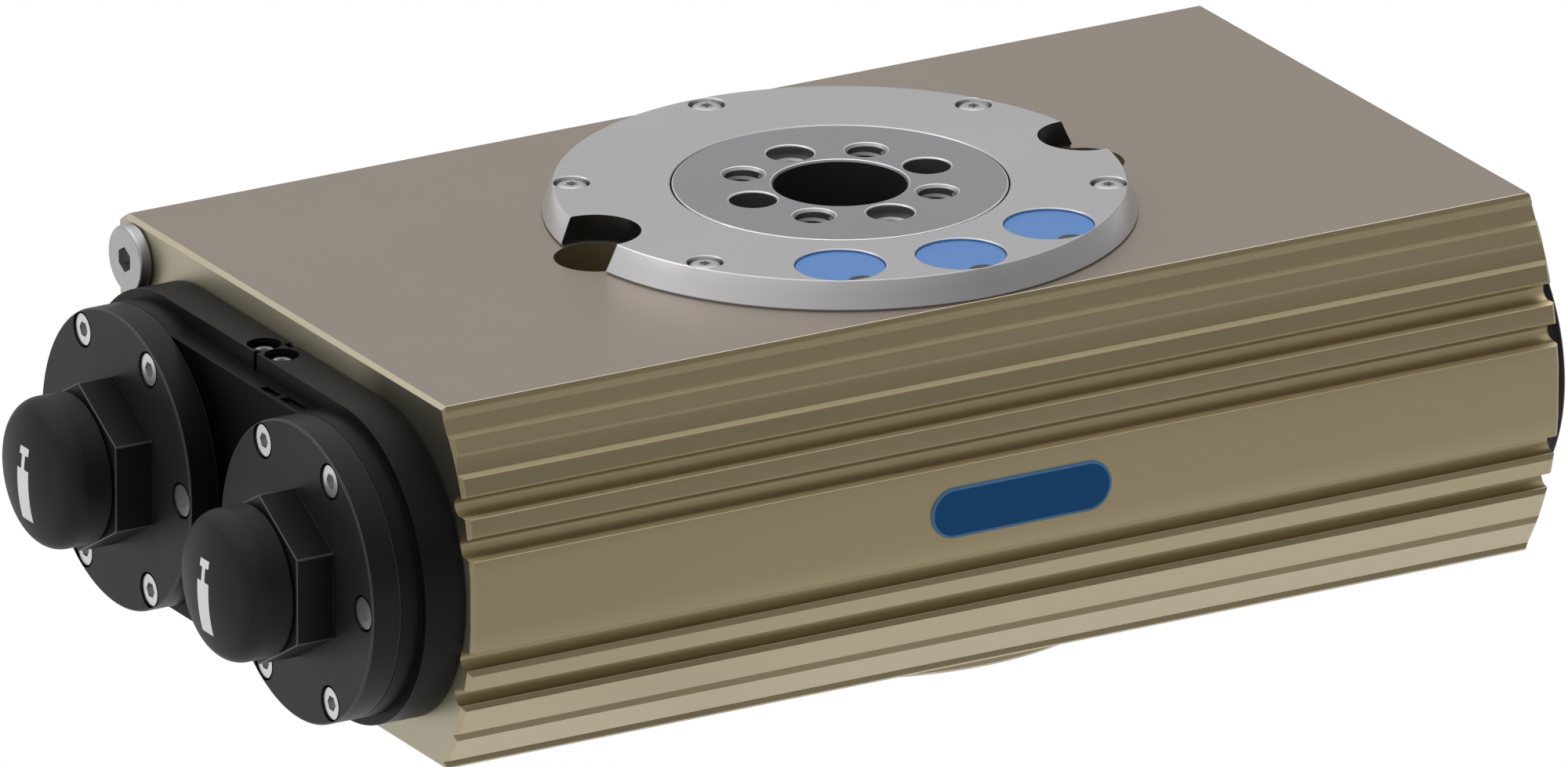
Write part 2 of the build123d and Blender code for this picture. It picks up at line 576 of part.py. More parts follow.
# End plate with two round bosses, the web between them and the throttle recess in its top
with BuildPart() as end_plate:
    with BuildSketch(LEFT.offset(GASKET)):
        stadium(END_RADIUS)
    extrude(amount=PLATE_OUT - GASKET)
    with BuildSketch(LEFT.offset(PLATE_OUT)):
        Rectangle(BORE_SPACING, 2 * WEB_HALF)
    extrude(amount=BOSS_OUT - PLATE_OUT)
    with BuildSketch(LEFT.offset(PLATE_OUT)):
        with Locations(*BORES):
            Circle(COVER_RADIUS)
    extrude(amount=BOSS_OUT - PLATE_OUT)
    with BuildSketch(LEFT):
        with Locations(*BORES):
            Circle(SLEEVE_THREAD / 2 + 0.6)
            with PolarLocations(COVER_SCREW_CIRCLE / 2, 6):
                Circle(2.2)
    extrude(amount=BOSS_OUT, mode=Mode.SUBTRACT)
    # Grooves for the round cords under the cylinder covers
    with BuildSketch(LEFT.offset(BOSS_OUT)):
        with Locations(*BORES):
            Circle(SLEEVE_THREAD / 2 + 6.5)
            Circle(SLEEVE_THREAD / 2 + 4.3, mode=Mode.SUBTRACT)
    extrude(amount=-1.6, mode=Mode.SUBTRACT)
    # Throttle recess of two merging rounds, with a screw hole in each
    with BuildSketch(Plane.XY.offset(BORE_Z + END_RADIUS)):
        with Locations(*[(out(THROTTLE_OUT), y) for y in THROTTLE_Y]):
            Circle(3.7)
    extrude(amount=-3.2, mode=Mode.SUBTRACT)
    with BuildSketch(Plane.XY.offset(BORE_Z + END_RADIUS)):
        with Locations(*[(out(THROTTLE_OUT), y) for y in THROTTLE_Y]):
            Circle(1.95)
    extrude(amount=-16.0, mode=Mode.SUBTRACT)
    # Slit down the face, vent beside the housing and two pockets on the web
    with BuildSketch(Plane.XY.offset(BORE_Z + END_RADIUS)):
        with Locations((out(PLATE_OUT), -0.8)):
            Rectangle(2.4, 1.4)
    extrude(amount=WEB_HALF - END_RADIUS, mode=Mode.SUBTRACT)
    with BuildSketch(Plane.XY.offset(BORE_Z + END_RADIUS)):
        with Locations((out(1.2), -0.7)):
            Rectangle(1.8, 2.6)
    extrude(amount=-2.0, mode=Mode.SUBTRACT)
    with BuildSketch(Plane.XY.offset(BORE_Z + WEB_HALF)):
        with Locations((out(12.6), -12.8)):
            Rectangle(2.0, 6.0)
        with Locations((out(12.0), -21.5)):
            Rectangle(2.4, 8.0)
    extrude(amount=-1.0, mode=Mode.SUBTRACT)
save(end_plate.part, "end_plate")

for number, y in enumerate(THROTTLE_Y, 1):
    with BuildPart() as throttle_screw:
        with BuildSketch(Plane.XY.offset(BORE_Z + END_RADIUS - 15.5)):
            with Locations((out(THROTTLE_OUT), y)):
                Circle(1.9)
        extrude(amount=14.25)
        with BuildSketch(Plane.XY.offset(BORE_Z + END_RADIUS - 1.25)):
            with Locations((out(THROTTLE_OUT), y)):
                RegularPolygon(1.0, 6)
        extrude(amount=-1.2, mode=Mode.SUBTRACT)
    save(throttle_screw.part, "throttle_screw_" + str(number))

with BuildPart() as cover_seals:
    with BuildSketch(LEFT.offset(BOSS_OUT - 1.6)):
        with Locations(*BORES):
            Circle(SLEEVE_THREAD / 2 + 6.5)
            Circle(SLEEVE_THREAD / 2 + 4.3, mode=Mode.SUBTRACT)
    extrude(amount=1.6)
save(cover_seals.part, "cover_seals")

for side, y in (("front", BORE_Y), ("rear", -BORE_Y)):
    # Round cover, screwed through the end plate into the housing
    with BuildPart() as cylinder_cover:
        with BuildSketch(LEFT.offset(BOSS_OUT)):
            with Locations((y, 0)):
                Circle(COVER_RADIUS)
        extrude(amount=COVER_OUT - BOSS_OUT)
        chamfer(cylinder_cover.edges().filter_by(GeomType.CIRCLE), 0.25)
        with BuildSketch(LEFT.offset(BOSS_OUT)):
            with Locations((y, 0)):
                Circle(SLEEVE_THREAD / 2 + 0.05)
                with PolarLocations(COVER_SCREW_CIRCLE / 2, 6):
                    Circle(2.2)
        extrude(amount=COVER_OUT - BOSS_OUT, mode=Mode.SUBTRACT)
        with BuildSketch(LEFT.offset(COVER_OUT)):
            with Locations((y, 0)):
                with PolarLocations(COVER_SCREW_CIRCLE / 2, 6):
                    Circle(3.6)
        extrude(amount=-4.3, mode=Mode.SUBTRACT)
    save(cylinder_cover.part, side + "_cylinder_cover")

    # Stop sleeve: hexagon outside, thread through the cover, hollow for the shock absorber
    with BuildPart() as stop_sleeve:
        with BuildSketch(LEFT.offset(-4.5)):
            with Locations((y, 0)):
                Circle(SLEEVE_THREAD / 2)
        extrude(amount=COVER_OUT + 4.6)
        with BuildSketch(LEFT.offset(COVER_OUT + 0.05)):
            with Locations((y, 0)):
                RegularPolygon(HEX_FLATS / 2, 6, major_radius=False, rotation=30)
        extrude(amount=HEX_OUT - COVER_OUT - 0.05)
        with BuildSketch(LEFT.offset(HEX_OUT)):
            with Locations((y, 0)):
                Circle(CAP_RADIUS - 1.85)
        extrude(amount=9.0)
        with BuildSketch(LEFT.offset(-4.5)):
            with Locations((y, 0)):
                Circle(DAMPER_DIAMETER / 2)
        extrude(amount=60, mode=Mode.SUBTRACT)
    save(stop_sleeve.part, side + "_stop_sleeve")

    # Shock absorber body with its plunger
    with BuildPart() as damper_body:
        with BuildSketch(LEFT.offset(0.2)):
            with Locations((y, 0)):
                Circle(DAMPER_DIAMETER / 2)
        extrude(amount=HEX_OUT + 7.9)
        with BuildSketch(LEFT.offset(0.2)):
            with Locations((y, 0)):
                Circle(3.56)
        extrude(amount=32.0, mode=Mode.SUBTRACT)
    save(damper_body.part, side + "_damper_body")

    tip = HALF_LENGTH - (PISTON_LENGTH / 2 + STROKE) - 0.3
    with BuildPart() as plunger:
        with BuildSketch(LEFT.offset(-tip)):
            with Locations((y, 0)):
                Circle(7.5)
        extrude(amount=4.0)
        with BuildSketch(LEFT.offset(-tip + 4.0)):
            with Locations((y, 0)):
                Circle(3.5)
        extrude(amount=30.0)
    save(plunger.part, side + "_plunger")

    # Protective cap over the adjusting end
    with BuildPart() as damper_cap:
        with BuildSketch(Plane.XZ):
            with BuildLine():
                Polyline((CAP_OUT - 5.65, CAP_RADIUS), (CAP_START + 0.3, CAP_RADIUS),
                         (CAP_START, CAP_RADIUS - 0.3), (CAP_START, CAP_RADIUS - 1.75),
                         (CAP_OUT - 2.3, CAP_RADIUS - 1.75), (CAP_OUT - 2.3, 0), (CAP_OUT + 1.25, 0))
                ThreePointArc((CAP_OUT + 1.25, 0), (CAP_OUT + 0.72, 6.45), (CAP_OUT - 0.93, 12.89))
                RadiusArc((CAP_OUT - 0.93, 12.89), (CAP_OUT - 5.65, CAP_RADIUS), -5.0)
            make_face()
        revolve(axis=Axis.X)
    turned = damper_cap.part.rotate(Axis.Z, 180)
    save(turned.moved(Location((-HALF_LENGTH, -y, BORE_Z))), side + "_damper_cap")

# Twelve identical screws of the cylinder covers
with BuildPart() as cover_screws:
    with BuildSketch(LEFT.offset(COVER_OUT - 4.3)):
        with Locations(*BORES):
            with PolarLocations(COVER_SCREW_CIRCLE / 2, 6):
                Circle(3.45)
    extrude(amount=4.0)
    with BuildSketch(LEFT.offset(COVER_OUT - 0.3)):
        with Locations(*BORES):
            with PolarLocations(COVER_SCREW_CIRCLE / 2, 6):
                RegularPolygon(1.73, 6)
    extrude(amount=-2.0, mode=Mode.SUBTRACT)
    with BuildSketch(LEFT.offset(COVER_OUT - 4.3)):
        with Locations(*BORES):
            with PolarLocations(COVER_SCREW_CIRCLE / 2, 6):
                Circle(2.0)
    extrude(amount=-25.0)
save(cover_screws.part, "cover_screws")

# Right end: gasket, thin cover with spigots into the bores and its flush screws
with BuildPart() as right_cover_gasket:
    with BuildSketch(RIGHT):
        stadium(END_RADIUS - 0.35)
        with Locations(*BORES):
            Circle(BORE_DIAMETER / 2, mode=Mode.SUBTRACT)
            with PolarLocations(COVER_SCREW_CIRCLE / 2, 4, start_angle=45):
                Circle(2.2, mode=Mode.SUBTRACT)
    extrude(amount=GASKET)
save(right_cover_gasket.part, "right_cover_gasket")

with BuildPart() as right_cover:
    with BuildSketch(RIGHT.offset(GASKET)):
        stadium(END_RADIUS)
    extrude(amount=RIGHT_COVER - GASKET)
    chamfer(right_cover.edges().group_by(Axis.X)[-1], 0.4)
    with BuildSketch(RIGHT.offset(GASKET)):
        with Locations(*BORES):
            Circle(BORE_DIAMETER / 2 - 0.1)
    extrude(amount=-4.0)
    with BuildSketch(RIGHT.offset(GASKET)):
        with Locations(*BORES):
            with PolarLocations(COVER_SCREW_CIRCLE / 2, 4, start_angle=45):
                Circle(2.2)
    extrude(amount=RIGHT_COVER, mode=Mode.SUBTRACT)
    with BuildSketch(RIGHT.offset(RIGHT_COVER)):
        with Locations(*BORES):
            with PolarLocations(COVER_SCREW_CIRCLE / 2, 4, start_angle=45):
                Circle(4.0)
    extrude(amount=-1.8, taper=45, mode=Mode.SUBTRACT)
save(right_cover.part, "right_cover")

with BuildPart() as right_cover_screws:
    with BuildSketch(RIGHT.offset(RIGHT_COVER - 0.1)):
        with Locations(*BORES):
            with PolarLocations(COVER_SCREW_CIRCLE / 2, 4, start_angle=45):
                Circle(3.9)
    extrude(amount=-1.9, taper=45)
    with BuildSketch(RIGHT.offset(RIGHT_COVER - 2.0)):
        with Locations(*BORES):
            with PolarLocations(COVER_SCREW_CIRCLE / 2, 4, start_angle=45):
                Circle(2.0)
    extrude(amount=-9.0)
    with BuildSketch(RIGHT.offset(RIGHT_COVER - 0.1)):
        with Locations(*BORES):
            with PolarLocations(COVER_SCREW_CIRCLE / 2, 4, start_angle=45):
                RegularPolygon(1.4, 6)
    extrude(amount=-1.3, mode=Mode.SUBTRACT)
save(right_cover_screws.part, "right_cover_screws")

# Port plug with its sealing washer, near the rear top corner of the left end
with BuildPart() as port_plug_seal:
    with BuildSketch(LEFT):
        with Locations((-67.35, 73.85 - BORE_Z)):
            Circle(6.8)
            Circle(4.9, mode=Mode.SUBTRACT)
    extrude(amount=0.4)
save(port_plug_seal.part, "port_plug_seal")

with BuildPart() as port_plug:
    with BuildSketch(LEFT.offset(0.4)):
        with Locations((-67.35, 73.85 - BORE_Z)):
            Circle(7.25)
    extrude(amount=2.6)
    fillet(port_plug.edges().group_by(Axis.X)[0], 0.7)
    with BuildSketch(LEFT.offset(0.4)):
        with Locations((-67.35, 73.85 - BORE_Z)):
            Circle(4.9)
    extrude(amount=-8.4)
    with BuildSketch(LEFT.offset(3.0)):
        with Locations((-67.35, 73.85 - BORE_Z)):
            RegularPolygon(2.8, 6, rotation=30)
    extrude(amount=-2.8, mode=Mode.SUBTRACT)
save(port_plug.part, "port_plug")

# Bare badge plate on the flat of the ribbed side
with BuildPart() as badge_plate:
    with BuildSketch(Plane.XZ.offset(75.4)):
        with Locations((BADGE_X, HOUSING_TOP - BADGE_DEPTH)):
            SlotOverall(BADGE_LENGTH, 11.0)
    extrude(amount=0.4)
save(badge_plate.part, "badge_plate")
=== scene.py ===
"""Finishes, fine edges, threads, badge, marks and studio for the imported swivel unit."""
import math

import bmesh
import bpy
from bpy.props import FloatProperty, FloatVectorProperty, IntProperty, PointerProperty
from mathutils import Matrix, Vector
from mathutils.bvhtree import BVHTree


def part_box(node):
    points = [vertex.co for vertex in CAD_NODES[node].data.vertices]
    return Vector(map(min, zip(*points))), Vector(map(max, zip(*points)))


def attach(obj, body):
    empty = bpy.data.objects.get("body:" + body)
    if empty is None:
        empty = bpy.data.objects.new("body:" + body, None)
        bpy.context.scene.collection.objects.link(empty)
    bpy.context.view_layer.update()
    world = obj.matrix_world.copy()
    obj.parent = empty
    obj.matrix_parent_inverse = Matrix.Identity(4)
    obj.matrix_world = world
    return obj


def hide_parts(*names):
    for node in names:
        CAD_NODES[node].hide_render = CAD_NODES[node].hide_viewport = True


bl_info = {
    "name": "Swivel Unit",
    "version": (1, 0, 0),
    "blender": (4, 5, 0),
    "location": "View3D > Sidebar > Swivel Unit",
    "description": "Dresses the swivel unit's frame with fine edges, threads, marks and finishes",
    "category": "Object",
}

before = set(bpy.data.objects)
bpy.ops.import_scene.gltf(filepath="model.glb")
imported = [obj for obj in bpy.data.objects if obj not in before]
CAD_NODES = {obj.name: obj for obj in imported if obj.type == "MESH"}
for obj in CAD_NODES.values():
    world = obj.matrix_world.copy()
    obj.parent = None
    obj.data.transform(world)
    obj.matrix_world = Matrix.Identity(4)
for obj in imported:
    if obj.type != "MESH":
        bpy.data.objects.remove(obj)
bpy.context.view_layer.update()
MM = 0.001

RING_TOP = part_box("top_ring")[1].z
OUTPUT_CIRCLE = 21.0 * MM


def colour_property(name, description, default):
    return FloatVectorProperty(
        name=name, description=description, default=default, size=3,
        min=0.0, max=1.0, subtype="COLOR",
    )


def length_property(name, description, default):
    return FloatProperty(
        name=name, description=description, default=default, min=0.0,
        unit="LENGTH", subtype="DISTANCE", precision=5,
    )


class SwivelFinishSettings(bpy.types.PropertyGroup):
    """Base colours of the unit's finishes, in linear light"""

    housing: colour_property("Housing", "Champagne to olive anodised aluminium", (0.2775, 0.227, 0.132))
    # Painted light: facets turned down take this greyer colour and are lifted in shade, as if lit from the
    # floor below.
    underside_painted_light: colour_property("Underside", "The same coating on facets turned down", (0.250, 0.216, 0.154))
    milled_top: colour_property("Milled top", "The same coating on the milled top", (0.242, 0.200, 0.163))
    # Painted light: the ends and the end chamfer take this colour, lighter than the side's coating.
    end_face_painted_light: colour_property("End face", "The same coating on the milled ends", (0.40, 0.36, 0.26))
    ring: colour_property("Ring", "Nickelled ring on the top", (0.45, 0.44, 0.445))
    # Painted highlight: the ribs' broken upper edges take this light colour.
    rib_edge: colour_property("Rib edge", "Broken upper edges of the housing's ribs", (0.66, 0.60, 0.46))
    # Painted highlight: the broken edges of ring, pinion and screws take this light colour.
    painted_edge_highlight: colour_property("Bright edge", "Broken edges of ring and pinion", (0.66, 0.66, 0.67))
    output_face: colour_property("Output face", "Ground steel of the pinion", (0.27, 0.262, 0.272))
    screws: colour_property("Screws", "Bright zinc of the small screws", (0.62, 0.62, 0.61))
    port_covers: colour_property("Port covers", "Light blue of the round covers", (0.026, 0.154, 0.440))
    # Painted shade: laid as a flat half-moon over each round cover's grip notch.
    cover_notch: colour_property("Cover notch", "Dark grip notch of the round covers", (0.006, 0.012, 0.024))
    badge: colour_property("Badge", "Dark blue of the bare badge", (0.0036, 0.053, 0.150))
    badge_rim: colour_property("Badge rim", "Lighter line round the badge", (0.060, 0.150, 0.270))
    black_metal: colour_property("Black metal", "Black anodised end parts", (0.0105, 0.0102, 0.0108))
    # Painted highlight: the broken edges of the black parts take this lighter colour.
    black_edge: colour_property("Black edge", "Broken edges of the black parts", (0.040, 0.040, 0.040))
    cap: colour_property("Cap", "Moulded black caps", (0.0075, 0.0073, 0.0076))
    cap_mark: colour_property("Cap mark", "Light printing on the caps", (0.60, 0.60, 0.60))
    rubber: colour_property("Rubber", "Seals and gaskets", (0.012, 0.012, 0.012))


class SwivelDetailSettings(bpy.types.PropertyGroup):
    """Sizes of the details that are finer than the solids"""

    edge_break: length_property("Edge break", "Broken edge on machined parts", 0.18 * MM)
    black_edge_break: length_property("Black edge break", "Broken edge on the black parts", 0.30 * MM)
    fine_edge_break: length_property("Fine edge break", "Broken edge on screws and covers", 0.12 * MM)
    thread_pitch: length_property("Thread pitch", "Pitch of the output threads", 1.25 * MM)
    thread_depth: length_property("Thread depth", "Height of the output threads' ridges", 0.62 * MM)
    badge_dome: length_property("Badge dome", "Height of the badge's domed middle", 0.30 * MM)
    badge_rim: length_property("Badge rim", "Width of the badge's lighter rim", 0.45 * MM)
    # The gap is laid as flat rings of painted shade on the covers' faces.
    seat_gap: length_property("Seat gap", "Width of the dark gap round the covers' screws", 0.42 * MM)
    thread_turns: IntProperty(name="Thread turns", description="Turns in each output hole", default=9, min=1)


class SwivelStudioSettings(bpy.types.PropertyGroup):
    """Camera, floor and light"""

    lens: FloatProperty(name="Lens", description="Focal length in millimetres", default=800.0, min=50.0)
    azimuth: FloatProperty(name="Azimuth", description="Camera direction in degrees", default=-29.92)
    elevation: FloatProperty(name="Elevation", description="Camera height in degrees", default=20.156)
    camera_place: FloatVectorProperty(
        name="Camera place", description="Camera position", default=(-3.43143, -5.93909, 2.56087),
        size=3, unit="LENGTH", subtype="TRANSLATION",
    )
    floor: colour_property("Floor", "Plain pale floor", (0.94, 0.94, 0.94))
    floor_glow: FloatProperty(
        name="Floor glow", description="How white the floor looks", default=1.0, min=0.0,
    )
    zenith: FloatProperty(name="Zenith", description="Sky strength straight up", default=1.75, min=0.0)
    horizon: FloatProperty(name="Horizon", description="Sky strength at the horizon", default=0.42, min=0.0)
    front_fall: FloatProperty(name="Front fall", description="How much darker the front sky is", default=0.42)
    right_fall: FloatProperty(name="Right fall", description="How much darker the right sky is", default=0.20)
    key_power: FloatProperty(
        name="Key power", description="Power of the overhead panel in watts", default=6.0,
    )


class Value:
    """One number in a material's tree; sums and products on it add Math nodes"""

    def __init__(self, finish, socket):
        self.finish = finish
        self.socket = socket

    def math(self, operation, first, second=0.0, third=0.0):
        return self.finish.node(
            "ShaderNodeMath", {"operation": operation}, {0: first, 1: second, 2: third},
        )

    def __add__(self, other):
        return self.math("ADD", self, other)

    def __radd__(self, other):
        return self.math("ADD", other, self)

    def __sub__(self, other):
        return self.math("SUBTRACT", self, other)

    def __rsub__(self, other):
        return self.math("SUBTRACT", other, self)

    def __mul__(self, other):
        return self.math("MULTIPLY", self, other)

    def __rmul__(self, other):
        return self.math("MULTIPLY", other, self)

    def __pow__(self, other):
        return self.math("POWER", self, other)

    def __lt__(self, other):
        return self.math("LESS_THAN", self, other)

    def __gt__(self, other):
        return self.math("GREATER_THAN", self, other)

    def __abs__(self):
        return self.math("ABSOLUTE", self)

    def least(self, other):
        return self.math("MINIMUM", self, other)

    def most(self, other):
        return self.math("MAXIMUM", self, other)


class Finish:
    """A node material, with its coordinates in millimetres"""

    def __init__(self, name, **surface):
        self.material = bpy.data.materials.new(name)
        self.material.use_nodes = True
        self.tree = self.material.node_tree
        self.shader = self.tree.nodes["Principled BSDF"]
        self.shader.inputs["IOR"].default_value = 1.5
        for key, value in surface.items():
            self.set(key.replace("_", " ").title(), value)

    def set(self, socket_name, value):
        socket = self.shader.inputs["IOR" if socket_name == "Ior" else socket_name]
        if isinstance(value, Value):
            self.tree.links.new(value.socket, socket)
        elif hasattr(socket.default_value, "__len__"):
            socket.default_value = tuple(value)[:3] + ((1.0,) if len(socket.default_value) == 4 else ())
        else:
            socket.default_value = value

    def node(self, kind, settings=None, sockets=None, output=0):
        made = self.tree.nodes.new(kind)
        for key, value in (settings or {}).items():
            if key == "stops":
                while len(made.color_ramp.elements) < len(value):
                    made.color_ramp.elements.new(0.5)
                for element, (place, shade) in zip(made.color_ramp.elements, value):
                    element.position = place
                    element.color = (shade, shade, shade, 1.0)
            else:
                setattr(made, key, value)
        for key, value in (sockets or {}).items():
            socket = made.inputs[key]
            if isinstance(value, Value):
                self.tree.links.new(value.socket, socket)
            elif hasattr(getattr(socket, "default_value", None), "__len__"):
                size = len(socket.default_value)
                socket.default_value = (tuple(value) + (1.0,))[:size]
            else:
                socket.default_value = value
        return Value(self, made.outputs[output])

    def place(self):
        """Object coordinates in millimetres"""
        return self.node(
            "ShaderNodeVectorMath", {"operation": "SCALE"},
            {"Vector": self.node("ShaderNodeTexCoord", output="Object"), "Scale": 1000.0},
        )

    def direction(self):
        """Surface direction in the object's own frame"""
        return self.node("ShaderNodeTexCoord", output="Normal")

    def parts(self, vector):
        return tuple(self.node("ShaderNodeSeparateXYZ", {}, {0: vector}, output=i) for i in range(3))

    def mapped(self, vector, scale=(1, 1, 1), turn=(0, 0, 0), shift=(0, 0, 0)):
        return self.node(
            "ShaderNodeMapping", {}, {"Vector": vector, "Location": shift, "Rotation": turn, "Scale": scale},
        )

    def noise(self, vector, scale, detail=2.0, roughness=0.5):
        """Noise around 0.5 in the given vector's units"""
        return self.node(
            "ShaderNodeTexNoise", {},
            {"Vector": vector, "Scale": scale, "Detail": detail, "Roughness": roughness},
        )

    def ramp(self, value, stops):
        return self.node("ShaderNodeValToRGB", {"stops": stops}, {0: value})

    def blend(self, factor, first, second):
        return self.node("ShaderNodeMix", {"data_type": "RGBA"}, {0: factor, 6: first, 7: second}, output=2)

    def tint(self, colour, shade):
        """The colour, lighter where shade is over 1 and darker below it"""
        grey = self.node("ShaderNodeCombineXYZ", {}, {0: shade, 1: shade, 2: shade})
        base = colour if isinstance(colour, Value) else tuple(colour)[:3]
        return self.node("ShaderNodeVectorMath", {"operation": "MULTIPLY"}, {0: base, 1: grey})

    def relief(self, height, distance, strength=1.0):
        self.set("Normal", self.node(
            "ShaderNodeBump", {}, {"Height": height, "Distance": distance, "Strength": strength},
        ))


# Places where a finish or its painted light and shade changes, all in millimetres from the frame's origin.
# Sensor slots in the housing's side: centre's y and z, then how much painted light lifts their middle over
# the side, and the least and most that this painted light and shade can be towards their ceiling and floor
SLOTS = (
    (-70.1, 62.35, 0.08, -0.32, 0.95), (-72.2, 53.95, 0.08, -0.32, 0.95),
    (-72.3, 29.15, 0.30, 0.10, 0.50), (-70.0, 20.65, 0.30, 0.10, 0.50),
)
SLOT_REACH_SQUARED = 5.5
MILLED_TOP_FROM = 81.0
# UNDERSIDE_TO bounds the painted light on facets turned down, the LIP numbers the painted highlight on the
# ledges, the CORNER numbers the painted shade on the left end, the WEB numbers the painted shade on the end
# plate's web, RING_SIDE_FROM the painted light on the ring's side and PINION_BORE_RADIUS the painted shade in
# the pinion's bore
UNDERSIDE_TO = 46.0
LIP_FROM, LIP_TO, LIP_SIDE = 50.0, 62.0, -66.0
CORNER_SIDE, CORNER_FROM = -26.0, 50.0
WEB_SIDE, WEB_TOP = 36.0, 71.5
RING_SIDE_FROM = 59.0
PINION_BORE_RADIUS = 14.1

# The ring's two notches, over the mounting holes: distance from the axis and reach of their walls, which get
# painted shade
NOTCH_PLACE = 59.0
NOTCH_REACH = 9.9

# Radius of the covers' screw circle, of a screw's head and of an output thread
COVER_SCREW_PLACE = 28.25 * MM
SCREW_HEAD = 3.5 * MM
THREAD_RADIUS = 4.02 * MM

# The broken edges of ribs and screws, as multiples of the fine edge break
RIB_BREAK = 2.2
SCREW_BREAK = 1.4

# Steps round a full circle of the fine flat pieces, and round one turn of a thread
RING_STEPS = 48
BADGE_STEPS = 64
THREAD_STEPS = 32

# A flat piece lies this far over the face that it marks
SKIN = 0.02 * MM


def anodised_housing(settings):
    """Extruded, milled and anodised aluminium: lines along the bores on the sides, grain on the top; painted
    light lifts the facets turned down, the ledges, the slots' middles and the ends, and painted shade darkens
    the slots' ceilings and the left end's upper corner
    """
    finish = Finish("anodised_housing", metallic=0.86, coat_roughness=0.32)
    place = finish.place()
    x, y, z = finish.parts(place)
    facing = finish.parts(finish.direction())
    on_top = (facing[2] > 0.97) * (z > MILLED_TOP_FROM)
    on_end = abs(facing[0]) > 0.9
    lines = finish.noise(finish.mapped(place, (0.012, 3.2, 3.2)), 1.0, 3.0, 0.6)
    fine = finish.noise(finish.mapped(place, (0.06, 14.0, 14.0)), 1.0, 2.0, 0.5)
    grain = finish.noise(place, 9.0, 3.0, 0.6)
    cloud = finish.noise(place, 0.018, 2.0, 0.5)
    mill = finish.noise(finish.mapped(place, (0.9, 0.03, 0.9)), 1.0, 2.0, 0.5)
    drawn = lines * 0.6 + fine * 0.4
    # Painted light lifts the slots' middles and painted shade darkens their ceilings; the slots are kept out
    # of the painted light on facets turned down and on ledges.
    slots = 0.0
    glow = 0.0
    for slot_y, slot_z, middle, ceiling, base in SLOTS:
        rise = z - slot_z
        inside = (y - slot_y) ** 2.0 + rise * rise < SLOT_REACH_SQUARED
        slots = inside + slots
        glow = inside * (middle - rise * 0.95).most(ceiling).least(base) + glow
    # Painted light: facets turned down, low on the side, are made lighter and greyer.
    turned_down = (facing[2] * -2.0 - 0.06).most(0.0).least(1.1) * (facing[2] > -0.8)
    under = turned_down * (z < UNDERSIDE_TO) * (1.0 - on_end.most(slots))
    # Painted highlight: upward ledges are lighter, most of all on the lips under the sensor slots.
    lip = (z < LIP_TO) * (z > LIP_FROM) * (y < LIP_SIDE)
    ledge = (facing[2] > 0.7) * (0.10 + lip * 2.0) * (1.0 - slots)
    side_shade = (0.90 + drawn * 0.16 + cloud * 0.06 + under + ledge) * (1.0 + glow)
    top_shade = 0.93 + grain * 0.06 + mill * 0.04 + cloud * 0.08
    coat = finish.blend(under.least(1.0), settings.housing, settings.underside_painted_light)
    side = finish.tint(coat, side_shade)
    top = finish.tint(settings.milled_top, top_shade)
    # Painted shade: the left end face darkens towards its upper corner beside the end plate.
    towards_side = ((y - CORNER_SIDE) * -0.08).most(0.0).least(1.0)
    corner = towards_side * ((z - CORNER_FROM) * 0.1).most(0.0).least(1.0)
    beside_plate = 1.0 - corner * on_end * (x < 0.0) * 0.70
    # Painted light: the end faces and the end chamfer take the lighter end colour.
    end = finish.tint(settings.end_face_painted_light, (0.94 + grain * 0.08 + cloud * 0.06) * beside_plate)
    on_bevel = (facing[0] < -0.5) * (facing[2] > 0.5)
    body = finish.blend(on_top, side, top)
    finish.set("Base Color", finish.blend(on_end.most(on_bevel), body, end))
    finish.set("Roughness", 0.40 + drawn * 0.10 + on_top * 0.02 - on_end * 0.04 + (cloud - 0.5) * 0.05)
    finish.set("Coat Weight", 0.22 + on_top * 0.10)
    flat = on_top.most(on_end)
    height = drawn * (1.0 - flat) + (grain * 0.5 + mill * 0.5) * flat
    finish.relief(height, 0.00002, 0.35)
    return finish.material


def turned_metal(name, colour, roughness, pitch, metallic=0.95, coat=0.0, bore=0.0, rim=0.0):
    """Metal turned or ground round the pinion axis, with fine rings; a bore gets painted shade towards it,
    and a rim gets painted light on the ring's side and painted shade on its notches' walls
    """
    finish = Finish(name, metallic=metallic, coat_weight=coat, coat_roughness=0.25)
    place = finish.place()
    x, y, z = finish.parts(place)
    radius = (x * x + y * y) ** 0.5
    reading = finish.node(
        "ShaderNodeCombineXYZ", {}, {0: radius * (1.0 / pitch), 1: z * (1.0 / pitch), 2: 0.0},
    )
    rings = finish.noise(reading, 1.0, 3.0, 0.65)
    grain = finish.noise(place, 5.0, 3.0, 0.6)
    cloud = finish.noise(place, 0.03, 2.0, 0.5)
    shade = 0.94 + rings * 0.04 + grain * 0.03 + cloud * 0.05
    # Painted shade: darker towards the bore.
    if bore:
        shade = shade * finish.node(
            "ShaderNodeMapRange", {"interpolation_type": "SMOOTHSTEP"},
            {"Value": radius, "From Min": bore + 0.1, "From Max": bore + 0.5, "To Min": 0.48, "To Max": 1.0},
        )
    # Painted light on the ring's side, most to the left and right, and painted shade on its notches' walls.
    if rim:
        facing = finish.parts(finish.direction())
        side = (radius > rim) * (facing[2] < 0.6)
        shade = shade * (1.0 + side * (0.10 + abs(facing[0]) * 0.38))
        notch = (abs(x) - NOTCH_PLACE) ** 2.0 + y * y < NOTCH_REACH ** 2.0
        shade = shade * (1.0 - notch * (facing[2] < 0.6) * 0.84)
    finish.set("Base Color", finish.tint(colour, shade))
    finish.set("Roughness", roughness + (rings - 0.5) * 0.08 + (cloud - 0.5) * 0.06)
    finish.relief(rings, 0.00001, 0.08)
    return finish.material


